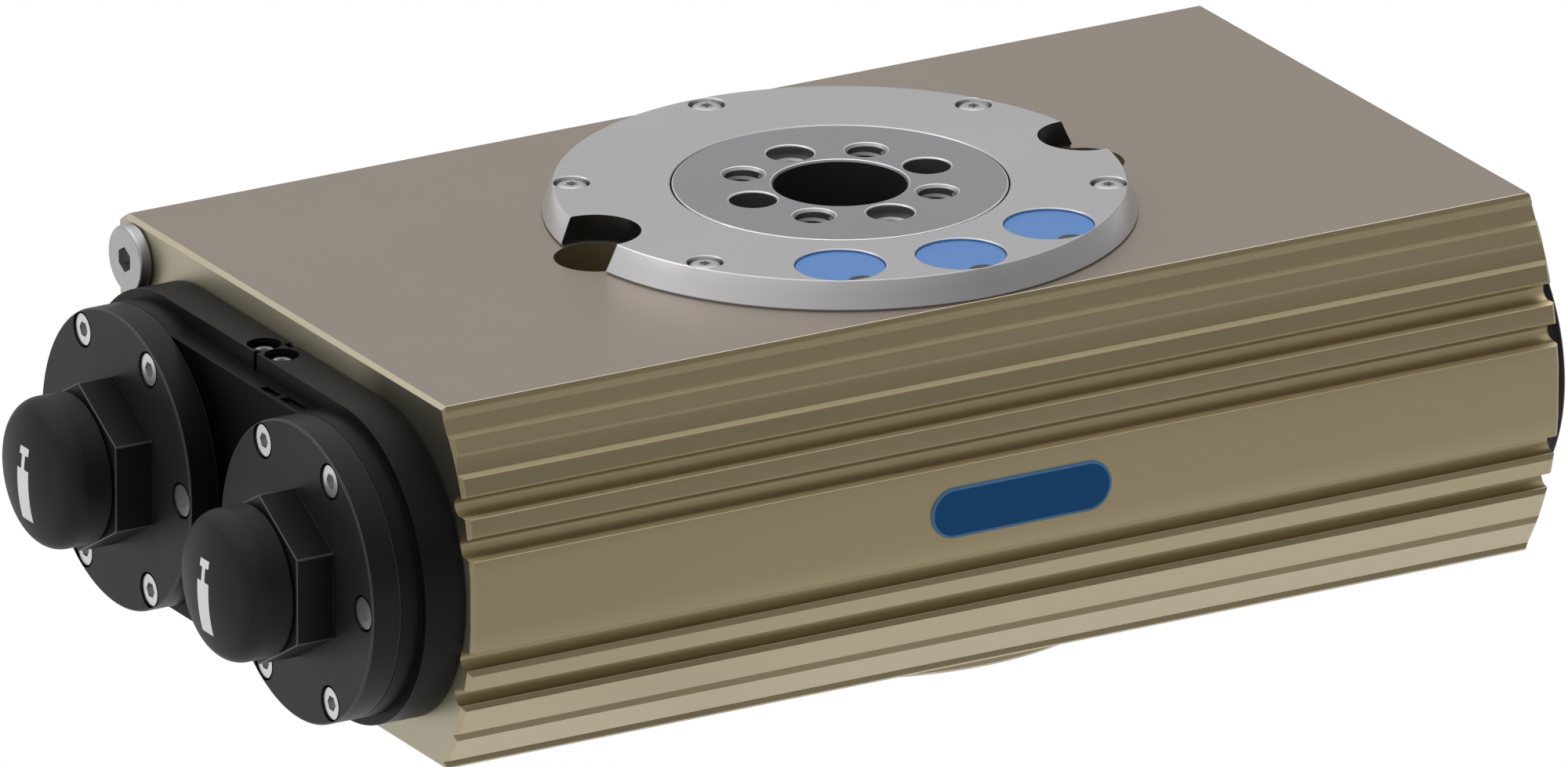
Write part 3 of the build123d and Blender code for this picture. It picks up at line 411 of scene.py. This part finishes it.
def bright_screw(name, colour, roughness=0.30):
    """Zinc-plated steel with a slight mottling; the same mottled metal makes the painted highlights of broken
    edges and the threads darkened as painted shade
    """
    finish = Finish(name, metallic=0.95)
    place = finish.place()
    grain = finish.noise(place, 4.0, 3.0, 0.6)
    mottle = finish.noise(place, 0.8, 2.0, 0.5)
    finish.set("Base Color", finish.tint(colour, 0.88 + mottle * 0.16 + grain * 0.06))
    finish.set("Roughness", roughness + (grain - 0.5) * 0.12)
    finish.relief(grain, 0.00001, 0.35)
    return finish.material


def black_anodised(settings, name="black_anodised_metal", front=1.0, specular=0.20):
    """Blasted and black anodised aluminium. Painted shade makes its walls darker than its faces turned to −x;
    a front under 1 darkens those faces too and makes the web's faces metallic, so that they render near black
    as painted shade
    """
    finish = Finish(name, metallic=0.0)
    finish.set("Specular IOR Level", specular)
    facing = finish.parts(finish.direction())
    # Painted shade: walls at 0.35 of the colour, faces turned to −x at front.
    painted_face_shade = (facing[0] < -0.9) * (front - 0.35) + 0.35
    place = finish.place()
    # Painted shade on the web between the bosses: its faces turned to −x are made metallic, so they render
    # near black.
    if front < 1.0:
        _, y, z = finish.parts(place)
        web = (facing[0] < -0.9) * (abs(y) < WEB_SIDE) * (z < WEB_TOP)
        finish.set("Metallic", web)
    blast = finish.noise(place, 6.5, 3.0, 0.65)
    cloud = finish.noise(place, 0.05, 2.0, 0.5)
    scuff = finish.ramp(finish.noise(finish.mapped(place, (0.5, 2.5, 0.35)), 1.0, 4.0, 0.7),
                        [(0.60, 0.0), (0.78, 1.0)])
    shade = (0.86 + blast * 0.22 + cloud * 0.10 + scuff * 0.10) * painted_face_shade
    finish.set("Base Color", finish.tint(settings.black_metal, shade))
    finish.set("Roughness", 0.46 + (blast - 0.5) * 0.16 + (cloud - 0.5) * 0.08)
    finish.relief(blast, 0.00003, 0.30)
    return finish.material


def moulded_cap(settings):
    """Moulded black plastic with a fine spark-eroded grain"""
    finish = Finish("moulded_cap_black", metallic=0.0)
    finish.set("Specular IOR Level", 0.18)
    place = finish.place()
    erosion = finish.noise(place, 3.6, 4.0, 0.7)
    cloud = finish.noise(place, 0.06, 2.0, 0.5)
    finish.set("Base Color", finish.tint(settings.cap, 0.86 + erosion * 0.20 + cloud * 0.10))
    finish.set("Roughness", 0.50 + (erosion - 0.5) * 0.20)
    finish.relief(erosion, 0.00005, 0.28)
    return finish.material


def printed_mark(settings):
    """Matt light printing with a slight break-up at its surface"""
    finish = Finish("cap_mark_print", metallic=0.0)
    place = finish.place()
    wear = finish.noise(place, 2.4, 4.0, 0.7)
    finish.set("Base Color", finish.tint(settings.cap_mark, 0.88 + wear * 0.20))
    finish.set("Roughness", 0.55 + (wear - 0.5) * 0.2)
    finish.relief(wear, 0.00002, 0.3)
    return finish.material


def moulded_blue(settings):
    """Blue moulded cover with a satin skin"""
    finish = Finish("port_cover_blue", metallic=0.0, coat_weight=0.12, coat_roughness=0.3)
    place = finish.place()
    skin = finish.noise(place, 3.0, 3.0, 0.6)
    cloud = finish.noise(place, 0.12, 2.0, 0.5)
    finish.set("Base Color", finish.tint(settings.port_covers, 0.90 + skin * 0.08 + cloud * 0.12))
    finish.set("Roughness", 0.38 + (skin - 0.5) * 0.14)
    finish.relief(skin, 0.00002, 0.25)
    return finish.material


def enamel(name, colour):
    """Glossy resin of the badge"""
    finish = Finish(name, metallic=0.0)
    finish.set("Specular IOR Level", 0.07)
    place = finish.place()
    orange_peel = finish.noise(place, 0.9, 2.0, 0.5)
    cloud = finish.noise(place, 0.08, 2.0, 0.5)
    finish.set("Base Color", finish.tint(colour, 0.92 + cloud * 0.16))
    finish.set("Roughness", 0.30 + (orange_peel - 0.5) * 0.1)
    finish.relief(orange_peel, 0.00002, 0.2)
    return finish.material


def seal_rubber(settings):
    """Matt rubber with moulding dust"""
    finish = Finish("seal_rubber_black", metallic=0.0)
    place = finish.place()
    dust = finish.noise(place, 1.8, 4.0, 0.7)
    finish.set("Base Color", finish.tint(settings.rubber, 0.8 + dust * 0.4))
    finish.set("Roughness", 0.62 + (dust - 0.5) * 0.2)
    finish.relief(dust, 0.00003, 0.3)
    return finish.material


def plain_moulding(name, colour, roughness=0.45):
    finish = Finish(name, metallic=0.0)
    place = finish.place()
    skin = finish.noise(place, 2.2, 3.0, 0.6)
    finish.set("Base Color", finish.tint(colour, 0.9 + skin * 0.2))
    finish.set("Roughness", roughness + (skin - 0.5) * 0.15)
    finish.relief(skin, 0.00002, 0.25)
    return finish.material


def seat_shadow():
    """The unlit gap round a screw's head"""
    finish = Finish("seat_gap_shadow", metallic=0.0)
    finish.set("Specular IOR Level", 0.0)
    grain = finish.noise(finish.place(), 3.0, 2.0, 0.5)
    finish.set("Base Color", finish.tint((0.002, 0.002, 0.002), 0.8 + grain * 0.4))
    finish.set("Roughness", 0.8 + (grain - 0.5) * 0.1)
    return finish.material


FINISHES = {}


def finish_of(context, key):
    """Makes each finish once"""
    if key in FINISHES:
        return FINISHES[key]
    s = context.scene.swivel_finish
    makers = {
        "housing": lambda: anodised_housing(s),
        "ring": lambda: turned_metal("nickelled_ring", s.ring, 0.29, 0.35, coat=0.1, rim=RING_SIDE_FROM),
        # Painted highlight on the ribs' broken upper edges.
        "rib_edge": lambda: bright_screw("rib_edge_painted_highlight", s.rib_edge, 0.42),
        # Painted highlight on the broken edges of ring, pinion and screws.
        "painted_edge_highlight": lambda: bright_screw("painted_edge_highlight", s.painted_edge_highlight, 0.26),
        "ring_screws": lambda: bright_screw("nickel_ring_screws", (0.44, 0.44, 0.445), 0.24),
        # Painted shade: the threads are darker than the pinion's steel, as in the holes' shade.
        "thread": lambda: bright_screw("cut_thread_painted_shade", (0.14, 0.135, 0.14), 0.34),
        "pinion": lambda: turned_metal("ground_pinion", s.output_face, 0.36, 0.22, bore=PINION_BORE_RADIUS),
        "bearing": lambda: turned_metal("ground_bearing_steel", (0.50, 0.51, 0.52), 0.28, 0.30),
        "screws": lambda: bright_screw("zinc_screws", s.screws),
        "plug": lambda: bright_screw("nickel_plug", (0.40, 0.40, 0.40), 0.36),
        "piston": lambda: bright_screw("turned_piston", (0.55, 0.55, 0.56), 0.32),
        "black": lambda: black_anodised(s),
        # Painted shade: the end plate's faces turned to −x are darkened like its walls.
        "black_plate": lambda: black_anodised(s, "black_anodised_plate", 0.35, 0.13),
        # Painted highlight on the black parts' broken edges.
        "black_edge": lambda: plain_moulding("black_edge_painted_highlight", s.black_edge, 0.36),
        "seat_gap": seat_shadow,
        "cover_notch": lambda: plain_moulding("cover_notch_shade", s.cover_notch, 0.5),
        "cap": lambda: moulded_cap(s),
        "mark": lambda: printed_mark(s),
        "blue": lambda: moulded_blue(s),
        "badge": lambda: enamel("badge_enamel", s.badge),
        "badge_rim": lambda: enamel("badge_rim_enamel", s.badge_rim),
        "rubber": lambda: seal_rubber(s),
        "guide": lambda: plain_moulding("guide_ring_plastic", (0.60, 0.57, 0.47)),
        "magnet": lambda: plain_moulding("magnet_compound", (0.035, 0.035, 0.04), 0.6),
    }
    FINISHES[key] = makers[key]()
    return FINISHES[key]


def wear(node, material):
    """Gives a CAD node its finish"""
    piece = CAD_NODES[node]
    piece.data.materials.clear()
    piece.data.materials.append(material)


def shade_by_angle(mesh, angle):
    """Smooth shading, with edges over the angle kept sharp"""
    bm = bmesh.new()
    bm.from_mesh(mesh)
    for face in bm.faces:
        face.smooth = True
    for edge in bm.edges:
        edge.smooth = len(edge.link_faces) == 2 and edge.calc_face_angle(0.0) < angle
    bm.to_mesh(mesh)
    bm.free()


def merged_copy(node, whole=True):
    """A bmesh of a CAD node with its triangles joined and, where asked, its flat faces made whole"""
    bm = bmesh.new()
    bm.from_mesh(CAD_NODES[node].data)
    bmesh.ops.remove_doubles(bm, verts=bm.verts, dist=2e-6)
    if whole:
        bmesh.ops.dissolve_limit(
            bm, angle_limit=math.radians(0.6), use_dissolve_boundaries=False,
            verts=bm.verts, edges=bm.edges, delimit=set(),
        )
    return bm


def broken_edges(bm, width, angle=35.0, segments=2, keep=None, material=-1):
    """Rounds the edges over the angle"""
    sharp = [
        e for e in bm.edges
        if len(e.link_faces) == 2 and e.calc_face_angle(0.0) > math.radians(angle)
        and (keep is None or keep(e))
    ]
    bmesh.ops.bevel(
        bm, geom=sharp, offset=width, offset_type="OFFSET", segments=segments, profile=0.5,
        affect="EDGES", clamp_overlap=True, material=material, loop_slide=True,
    )


def add_piece(name, bm, body, material, angle=32.0):
    """Makes an object from a bmesh, riding on a body"""
    mesh = bpy.data.meshes.new(name)
    bm.to_mesh(mesh)
    bm.free()
    mesh.materials.append(material)
    shade_by_angle(mesh, math.radians(angle))
    piece = bpy.data.objects.new(name, mesh)
    bpy.context.scene.collection.objects.link(piece)
    even = piece.modifiers.new("even_shading", "WEIGHTED_NORMAL")
    even.mode = "FACE_AREA"
    even.weight = 100
    even.keep_sharp = True
    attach(piece, body)
    return piece


def refined(node, name, body, material, width, angle=35.0, keep=None, whole=True, edge=None):
    """A copy of a CAD node with broken edges, shown in the node's place"""
    bm = merged_copy(node, whole)
    broken_edges(bm, width, angle, 2, keep, 1 if edge else -1)
    piece = add_piece(name, bm, body, material)
    if edge:
        piece.data.materials.append(edge)
    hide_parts(node)
    return piece


# Rectangles of the cap's mark in millimetres from the cap's axis: left, right, bottom, top
MARK = ((-2.6, 2.1, -9.6, 1.9), (-0.9, 0.4, 1.9, 5.0), (-2.0, 1.6, 5.0, 6.7))


def rib_edge(edge):
    """The upper outer edges of the ribs on the housing's side"""
    run = edge.verts[1].co - edge.verts[0].co
    place = edge.verts[0].co
    if abs(run.x) < 0.9 * run.length or place.y > -0.062 or 0.0623 < place.z < 0.0815:
        return False
    first, second = (face.normal for face in edge.link_faces)
    low, high = (first, second) if first.z < second.z else (second, first)
    return high.z > 0.7 and low.y < -0.5 and edge.is_convex


def near_face(edge):
    """The edges at the pinion's face"""
    return all(vert.co.z > RING_TOP - 0.3 * MM for vert in edge.verts)


class SWIVEL_OT_housing(bpy.types.Operator):
    """Gives the housing its anodised finish"""

    bl_idname = "swivel.housing"
    bl_label = "Housing"

    def execute(self, context):
        width = context.scene.swivel_detail.fine_edge_break
        bm = merged_copy("housing")
        # The ribs' upper edges are broken wider and take the painted highlight of the second slot.
        broken_edges(bm, width * RIB_BREAK, 22.0, 2, rib_edge, 1)
        broken_edges(bm, width, 22.0, 2, self.unbroken)
        piece = add_piece(
            "housing_shell", bm, "housing_unit", finish_of(context, "housing"),
        )
        piece.data.materials.append(finish_of(context, "rib_edge"))
        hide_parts("housing")
        return {"FINISHED"}

    def unbroken(self, edge):
        """The edges that the first pass left sharp"""
        return all(face.material_index == 0 for face in edge.link_faces)


class SWIVEL_OT_ring(bpy.types.Operator):
    """Gives the fixed ring its turned finish, the bottom cover the housing's finish and the shaft seal its
    rubber
    """

    bl_idname = "swivel.ring"
    bl_label = "Ring"

    def execute(self, context):
        width = context.scene.swivel_detail.edge_break
        # The ring's broken edges take a painted highlight.
        refined("top_ring", "fixed_ring", "housing_unit", finish_of(context, "ring"), width,
                edge=finish_of(context, "painted_edge_highlight"))
        wear("bottom_cover", finish_of(context, "housing"))
        wear("shaft_seal", finish_of(context, "rubber"))
        return {"FINISHED"}


class SWIVEL_OT_pinion(bpy.types.Operator):
    """Finishes the pinion and cuts the ridges of its output threads"""

    bl_idname = "swivel.pinion"
    bl_label = "Pinion"

    def execute(self, context):
        detail = context.scene.swivel_detail
        # The pinion's broken edges at its face take a painted highlight.
        refined("pinion", "hollow_pinion", "pinion", finish_of(context, "pinion"),
                detail.edge_break, keep=near_face, edge=finish_of(context, "painted_edge_highlight"))
        wear("pinion_nut", finish_of(context, "bearing"))
        turns = detail.thread_turns
        pitch = detail.thread_pitch
        bm = bmesh.new()
        for quarter in range(4):
            turn = math.radians(45 + 90 * quarter)
            centre = Vector((OUTPUT_CIRCLE * math.cos(turn), OUTPUT_CIRCLE * math.sin(turn), 0))
            start = centre + Vector((THREAD_RADIUS, 0, RING_TOP - 0.9 * MM - (turns + 1) * pitch))
            profile = [
                start,
                start + Vector((-detail.thread_depth, 0, pitch * 0.44)),
                start + Vector((-detail.thread_depth, 0, pitch * 0.56)),
                start + Vector((0, 0, pitch)),
            ]
            verts = [bm.verts.new(point) for point in profile]
            edges = [bm.edges.new(pair) for pair in zip(verts, verts[1:])]
            bmesh.ops.spin(
                bm, geom=verts + edges, cent=centre, axis=(0, 0, 1), dvec=(0, 0, pitch / THREAD_STEPS),
                angle=2 * math.pi * turns, steps=THREAD_STEPS * turns, use_merge=False, use_duplicate=False,
            )
        bmesh.ops.remove_doubles(bm, verts=bm.verts, dist=1e-6)
        bmesh.ops.recalc_face_normals(bm, faces=bm.faces)
        add_piece("output_threads", bm, "pinion", finish_of(context, "thread"), 50)
        return {"FINISHED"}


class SWIVEL_OT_port_covers(bpy.types.Operator):
    """Finishes the three blue covers"""

    bl_idname = "swivel.port_covers"
    bl_label = "Port covers"

    def execute(self, context):
        for number in (1, 2, 3):
            wear("port_cover_%d" % number, finish_of(context, "blue"))
            self.notch(context, number)
        return {"FINISHED"}

    def notch(self, context, number):
        """A flat dark half-moon at the cover's front edge, lying just over the skin: painted shade for the
        grip notch's hollow
        """
        low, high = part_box("port_cover_%d" % number)
        middle = (low + high) / 2
        reach = (high.x - low.x) / 2 - 0.2 * MM
        bite = 2.9 * MM
        place = Vector((0, -reach - 0.1 * MM, 0))
        outline = []
        for step in range(33):
            turn = math.pi * step / 32
            point = place + Vector((math.cos(turn), math.sin(turn), 0)) * bite
            if point.length < reach:
                outline.append(point)
        start = math.atan2(outline[-1].y, outline[-1].x)
        sweep = math.atan2(outline[0].y, outline[0].x) - start
        for step in range(1, 12):
            turn = start + sweep * step / 12
            outline.append(Vector((math.cos(turn), math.sin(turn), 0)) * reach)
        bm = bmesh.new()
        base = Vector((middle.x, middle.y, high.z + SKIN))
        bm.faces.new([bm.verts.new(base + point) for point in outline])
        bmesh.ops.triangulate(bm, faces=bm.faces)
        add_piece("port_cover_%d_notch" % number, bm, "housing_unit", finish_of(context, "cover_notch"))


class SWIVEL_OT_end_parts(bpy.types.Operator):
    """Finishes the end plate, the round covers, the right cover and their gaskets"""

    bl_idname = "swivel.end_parts"
    bl_label = "End parts"

    def execute(self, context):
        width = context.scene.swivel_detail.black_edge_break
        for node, name, key, whole in (
            ("end_plate", "left_end_plate", "black_plate", True),
            ("right_cover", "right_end_cover", "black", True),
            ("front_cylinder_cover", "front_bore_cover", "black", False),
            ("rear_cylinder_cover", "rear_bore_cover", "black", False),
        ):
            # Their broken edges take a painted highlight.
            refined(node, name, "housing_unit", finish_of(context, key), width,
                    whole=whole, edge=finish_of(context, "black_edge"))
        for node in ("end_plate_gasket", "right_cover_gasket", "cover_seals"):
            wear(node, finish_of(context, "rubber"))
        self.seat_gaps(context)
        return {"FINISHED"}

    def seat_gaps(self, context):
        """The dark gaps round the heads of the round covers' screws, laid on the covers' faces as flat rings
        of painted shade
        """
        detail = context.scene.swivel_detail
        bm = bmesh.new()
        for side in ("front", "rear"):
            low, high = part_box(side + "_cylinder_cover")
            middle = (low + high) / 2
            limit = (high.y - low.y) / 2 - 0.27 * MM
            for seat in range(6):
                turn = math.radians(60 * seat)
                place = Vector((0, math.cos(turn), math.sin(turn))) * COVER_SCREW_PLACE
                inner, outer = [], []
                for step in range(RING_STEPS):
                    around = 2 * math.pi * step / RING_STEPS
                    spoke = Vector((0, math.cos(around), math.sin(around)))
                    reach = SCREW_HEAD + detail.seat_gap
                    while (place + spoke * reach).length > limit and reach > SCREW_HEAD:
                        reach -= 0.02 * MM
                    face = Vector((low.x - 0.01 * MM, middle.y, middle.z))
                    inner.append(bm.verts.new(face + place + spoke * SCREW_HEAD))
                    outer.append(bm.verts.new(face + place + spoke * reach))
                for step in range(RING_STEPS):
                    after = (step + 1) % RING_STEPS
                    bm.faces.new((inner[step], inner[after], outer[after], outer[step]))
        if sum((face.normal.x for face in bm.faces), 0.0) > 0:
            bmesh.ops.reverse_faces(bm, faces=bm.faces)
        add_piece("cover_seat_gaps", bm, "housing_unit", finish_of(context, "seat_gap"))


class SWIVEL_OT_stops(bpy.types.Operator):
    """Finishes the stop sleeves, shock absorbers and caps, and prints the caps' marks"""

    bl_idname = "swivel.stops"
    bl_label = "Stops"

    def execute(self, context):
        detail = context.scene.swivel_detail
        for side in ("front", "rear"):
            # The sleeves' broken edges take a painted highlight.
            refined(side + "_stop_sleeve", side + "_hexagon_sleeve", side + "_stop",
                    finish_of(context, "black"), detail.black_edge_break,
                    edge=finish_of(context, "black_edge"))
            wear(side + "_damper_body", finish_of(context, "bearing"))
            wear(side + "_plunger", finish_of(context, "bearing"))
            refined(side + "_damper_cap", side + "_moulded_cap", side + "_cap",
                    finish_of(context, "cap"), detail.edge_break)
            self.mark(context, side)
        return {"FINISHED"}

    def mark(self, context, side):
        """Prints the plain damper symbol on the cap's face: a rod with its head over a long body"""
        cap = CAD_NODES[side + "_damper_cap"]
        low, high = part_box(side + "_damper_cap")
        middle = (low + high) / 2
        surface = BVHTree.FromPolygons(
            [cap.matrix_world @ vert.co for vert in cap.data.vertices],
            [tuple(face.vertices) for face in cap.data.polygons],
        )
        bm = bmesh.new()
        for left, right, bottom, top in MARK:
            columns = [left + (right - left) * step / 6 for step in range(7)]
            rows = max(2, round((top - bottom) / 0.5))
            grid = []
            for row in range(rows + 1):
                level = bottom + (top - bottom) * row / rows
                line = []
                for column in columns:
                    start = Vector((low.x - 0.01, middle.y - column * MM, middle.z + level * MM))
                    point = surface.ray_cast(start, Vector((1, 0, 0)))[0]
                    line.append(bm.verts.new(point - Vector((SKIN, 0, 0))))
                grid.append(line)
            for lower, upper in zip(grid, grid[1:]):
                for corner in range(6):
                    bm.faces.new((lower[corner], lower[corner + 1], upper[corner + 1], upper[corner]))
        bmesh.ops.recalc_face_normals(bm, faces=bm.faces)
        if sum((face.normal.x for face in bm.faces), 0.0) > 0:
            bmesh.ops.reverse_faces(bm, faces=bm.faces)
        add_piece(side + "_cap_mark", bm, side + "_cap", finish_of(context, "mark"))


class SWIVEL_OT_screws(bpy.types.Operator):
    """Finishes the screws and the port plug"""

    bl_idname = "swivel.screws"
    bl_label = "Screws"

    def execute(self, context):
        width = context.scene.swivel_detail.fine_edge_break
        for node, name, key in (
            ("ring_screws", "ring_screw_set", "ring_screws"), ("cover_screws", "cover_screw_set", "screws"),
            ("right_cover_screws", "right_screw_set", "screws"),
        ):
            # The screws' broken edges take a painted highlight.
            refined(node, name, "housing_unit", finish_of(context, key), width * SCREW_BREAK,
                    edge=finish_of(context, "painted_edge_highlight"))
        for node in ("bottom_cover_screws", "throttle_screw_1", "throttle_screw_2"):
            wear(node, finish_of(context, "screws"))
        refined("port_plug", "sealing_plug", "housing_unit", finish_of(context, "plug"), width)
        wear("port_plug_seal", finish_of(context, "rubber"))
        return {"FINISHED"}


class SWIVEL_OT_badge(bpy.types.Operator):
    """Finishes the bare badge"""

    bl_idname = "swivel.badge"
    bl_label = "Badge"

    def execute(self, context):
        detail = context.scene.swivel_detail
        low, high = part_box("badge_plate")
        centre = (low + high) / 2
        half = (high.z - low.z) / 2
        reach = (high.x - low.x) / 2 - half
        side_rise, rim_rise, field_rise, slope = 0.30 * MM, 0.42 * MM, 0.36 * MM, 0.12 * MM
        inner = detail.badge_rim + slope
        rings = (
            (0.0, 0.0), (0.0, side_rise), (slope, rim_rise), (detail.badge_rim, rim_rise),
            (inner, field_rise),
        )
        dome = [
            (inner + (half - inner) * step / 10,
             field_rise + detail.badge_dome * (1 - (1 - step / 10) ** 2))
            for step in range(1, 10)
        ]
        bm = bmesh.new()
        loops = []
        for inset, rise in rings + tuple(dome):
            loop = []
            for step in range(BADGE_STEPS):
                turn = 2 * math.pi * (step + 0.5) / BADGE_STEPS
                side = reach if math.cos(turn) > 0 else -reach
                loop.append(bm.verts.new((
                    centre.x + side + (half - inset) * math.cos(turn),
                    high.y - rise,
                    centre.z + (half - inset) * math.sin(turn),
                )))
            loops.append(loop)
        for number, (outer, inner_loop) in enumerate(zip(loops, loops[1:])):
            for step in range(BADGE_STEPS):
                after = (step + 1) % BADGE_STEPS
                face = bm.faces.new((outer[step], outer[after], inner_loop[after], inner_loop[step]))
                face.material_index = 1 if number < 4 else 0
        bm.faces.new(loops[-1])
        bm.faces.new(loops[0][::-1])
        bmesh.ops.recalc_face_normals(bm, faces=bm.faces)
        piece = add_piece("bare_badge", bm, "housing_unit", finish_of(context, "badge"), 50)
        piece.data.materials.append(finish_of(context, "badge_rim"))
        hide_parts("badge_plate")
        return {"FINISHED"}


class SWIVEL_OT_inner_parts(bpy.types.Operator):
    """Finishes the pistons, bearings and their small parts"""

    bl_idname = "swivel.inner_parts"
    bl_label = "Inner parts"

    def execute(self, context):
        for side in ("front", "rear"):
            wear(side + "_piston", finish_of(context, "piston"))
            wear(side + "_piston_seals", finish_of(context, "rubber"))
            wear(side + "_piston_magnets", finish_of(context, "magnet"))
            wear(side + "_guide_rings", finish_of(context, "guide"))
        for level in ("upper", "lower"):
            wear(level + "_bearing_outer_ring", finish_of(context, "bearing"))
            wear(level + "_bearing_inner_ring", finish_of(context, "bearing"))
            wear(level + "_bearing_shields", finish_of(context, "rubber"))
        return {"FINISHED"}


class SWIVEL_OT_stage(bpy.types.Operator):
    """Sets the floor, the light and the camera"""

    bl_idname = "swivel.stage"
    bl_label = "Stage"

    def execute(self, context):
        scene = context.scene
        studio = scene.swivel_studio
        scene.view_settings.view_transform = "Standard"
        self.sky(scene, studio)
        self.floor(studio)
        self.panel(studio)
        self.camera(scene, studio)
        return {"FINISHED"}

    def sky(self, scene, studio):
        world = bpy.data.worlds.new("studio_sky")
        scene.world = world
        world.use_nodes = True
        sky = Finish.__new__(Finish)
        sky.tree = world.node_tree
        x, y, z = sky.parts(sky.node("ShaderNodeTexCoord", output="Generated"))
        up = z.most(0.0)
        rise = studio.horizon + (studio.zenith - studio.horizon) * up ** 2.0
        back = 1.0 + y * studio.front_fall - x * studio.right_fall
        below = z < 0.0
        strength = rise * back * (1.0 - below) + below
        sky.tree.nodes["Background"].inputs["Color"].default_value = (1.0, 1.0, 1.0, 1.0)
        sky.tree.links.new(strength.socket, sky.tree.nodes["Background"].inputs["Strength"])

    def floor(self, studio):
        bm = bmesh.new()
        bmesh.ops.create_grid(bm, x_segments=1, y_segments=1, size=60.0)
        bmesh.ops.translate(bm, verts=bm.verts, vec=(0, 0, -0.0002))
        mesh = bpy.data.meshes.new("studio_floor")
        bm.to_mesh(mesh)
        bm.free()
        mesh.materials.append(self.pale_floor(studio))
        floor = bpy.data.objects.new("studio_floor", mesh)
        bpy.context.scene.collection.objects.link(floor)

    def pale_floor(self, studio):
        pale = Finish("pale_floor", roughness=0.9)
        pale.set("Specular IOR Level", 0.0)
        pale.set("Base Color", studio.floor)
        camera_ray = pale.node("ShaderNodeLightPath", output="Is Camera Ray")
        glossy_ray = pale.node("ShaderNodeLightPath", output="Is Glossy Ray")
        through_ray = pale.node("ShaderNodeLightPath", output="Is Transmission Ray")
        seen = camera_ray.most(glossy_ray).most(through_ray) * studio.floor_glow
        glow = pale.node("ShaderNodeEmission", {}, {"Color": (1.0, 1.0, 1.0), "Strength": 1.0})
        surface = Value(pale, pale.shader.outputs["BSDF"])
        mixed = pale.node("ShaderNodeMixShader", {}, {0: seen, 1: surface, 2: glow})
        pale.tree.links.new(mixed.socket, pale.tree.nodes["Material Output"].inputs["Surface"])
        return pale.material

    def panel(self, studio):
        light = bpy.data.lights.new("overhead_panel", "AREA")
        light.shape = "RECTANGLE"
        light.size = 1.6
        light.size_y = 1.1
        light.energy = studio.key_power
        lamp = bpy.data.objects.new("overhead_panel", light)
        lamp.location = (-1.5, 0.9, 1.5)
        aim = Vector((0, 0, 0.05)) - lamp.location
        lamp.rotation_euler = aim.to_track_quat("-Z", "Y").to_euler()
        bpy.context.scene.collection.objects.link(lamp)

    def camera(self, scene, studio):
        data = bpy.data.cameras.new("photo_camera")
        data.lens = studio.lens
        data.sensor_width = 36.0
        data.clip_end = 200.0
        camera = bpy.data.objects.new("photo_camera", data)
        turn, rise = math.radians(studio.azimuth), math.radians(studio.elevation)
        back = Vector((math.sin(turn) * math.cos(rise), -math.cos(turn) * math.cos(rise), math.sin(rise)))
        camera.location = studio.camera_place
        camera.rotation_mode = "QUATERNION"
        camera.rotation_quaternion = (-back).to_track_quat("-Z", "Y")
        scene.collection.objects.link(camera)
        scene.camera = camera


OPERATORS = (
    SWIVEL_OT_housing, SWIVEL_OT_ring, SWIVEL_OT_pinion, SWIVEL_OT_port_covers, SWIVEL_OT_end_parts,
    SWIVEL_OT_stops, SWIVEL_OT_screws, SWIVEL_OT_badge, SWIVEL_OT_inner_parts, SWIVEL_OT_stage,
)


class SWIVEL_PT_panel(bpy.types.Panel):
    """Lists the steps that dress the unit"""

    bl_idname = "SWIVEL_PT_panel"
    bl_label = "Swivel Unit"
    bl_space_type = "VIEW_3D"
    bl_region_type = "UI"
    bl_category = "Swivel Unit"

    def draw(self, context):
        for operator in OPERATORS:
            self.layout.operator(operator.bl_idname)


SETTINGS = (
    ("swivel_finish", SwivelFinishSettings),
    ("swivel_detail", SwivelDetailSettings),
    ("swivel_studio", SwivelStudioSettings),
)


def register():
    for name, group in SETTINGS:
        bpy.utils.register_class(group)
        setattr(bpy.types.Scene, name, PointerProperty(type=group))
    for operator in OPERATORS:
        bpy.utils.register_class(operator)
    bpy.utils.register_class(SWIVEL_PT_panel)


def unregister():
    bpy.utils.unregister_class(SWIVEL_PT_panel)
    for operator in reversed(OPERATORS):
        bpy.utils.unregister_class(operator)
    for name, group in reversed(SETTINGS):
        delattr(bpy.types.Scene, name)
        bpy.utils.unregister_class(group)


def main():
    register()
    bpy.ops.swivel.housing()
    bpy.ops.swivel.ring()
    bpy.ops.swivel.pinion()
    bpy.ops.swivel.port_covers()
    bpy.ops.swivel.end_parts()
    bpy.ops.swivel.stops()
    bpy.ops.swivel.screws()
    bpy.ops.swivel.badge()
    bpy.ops.swivel.inner_parts()
    bpy.ops.swivel.stage()
    bpy.context.view_layer.update()


if __name__ == "__main__":
    main()
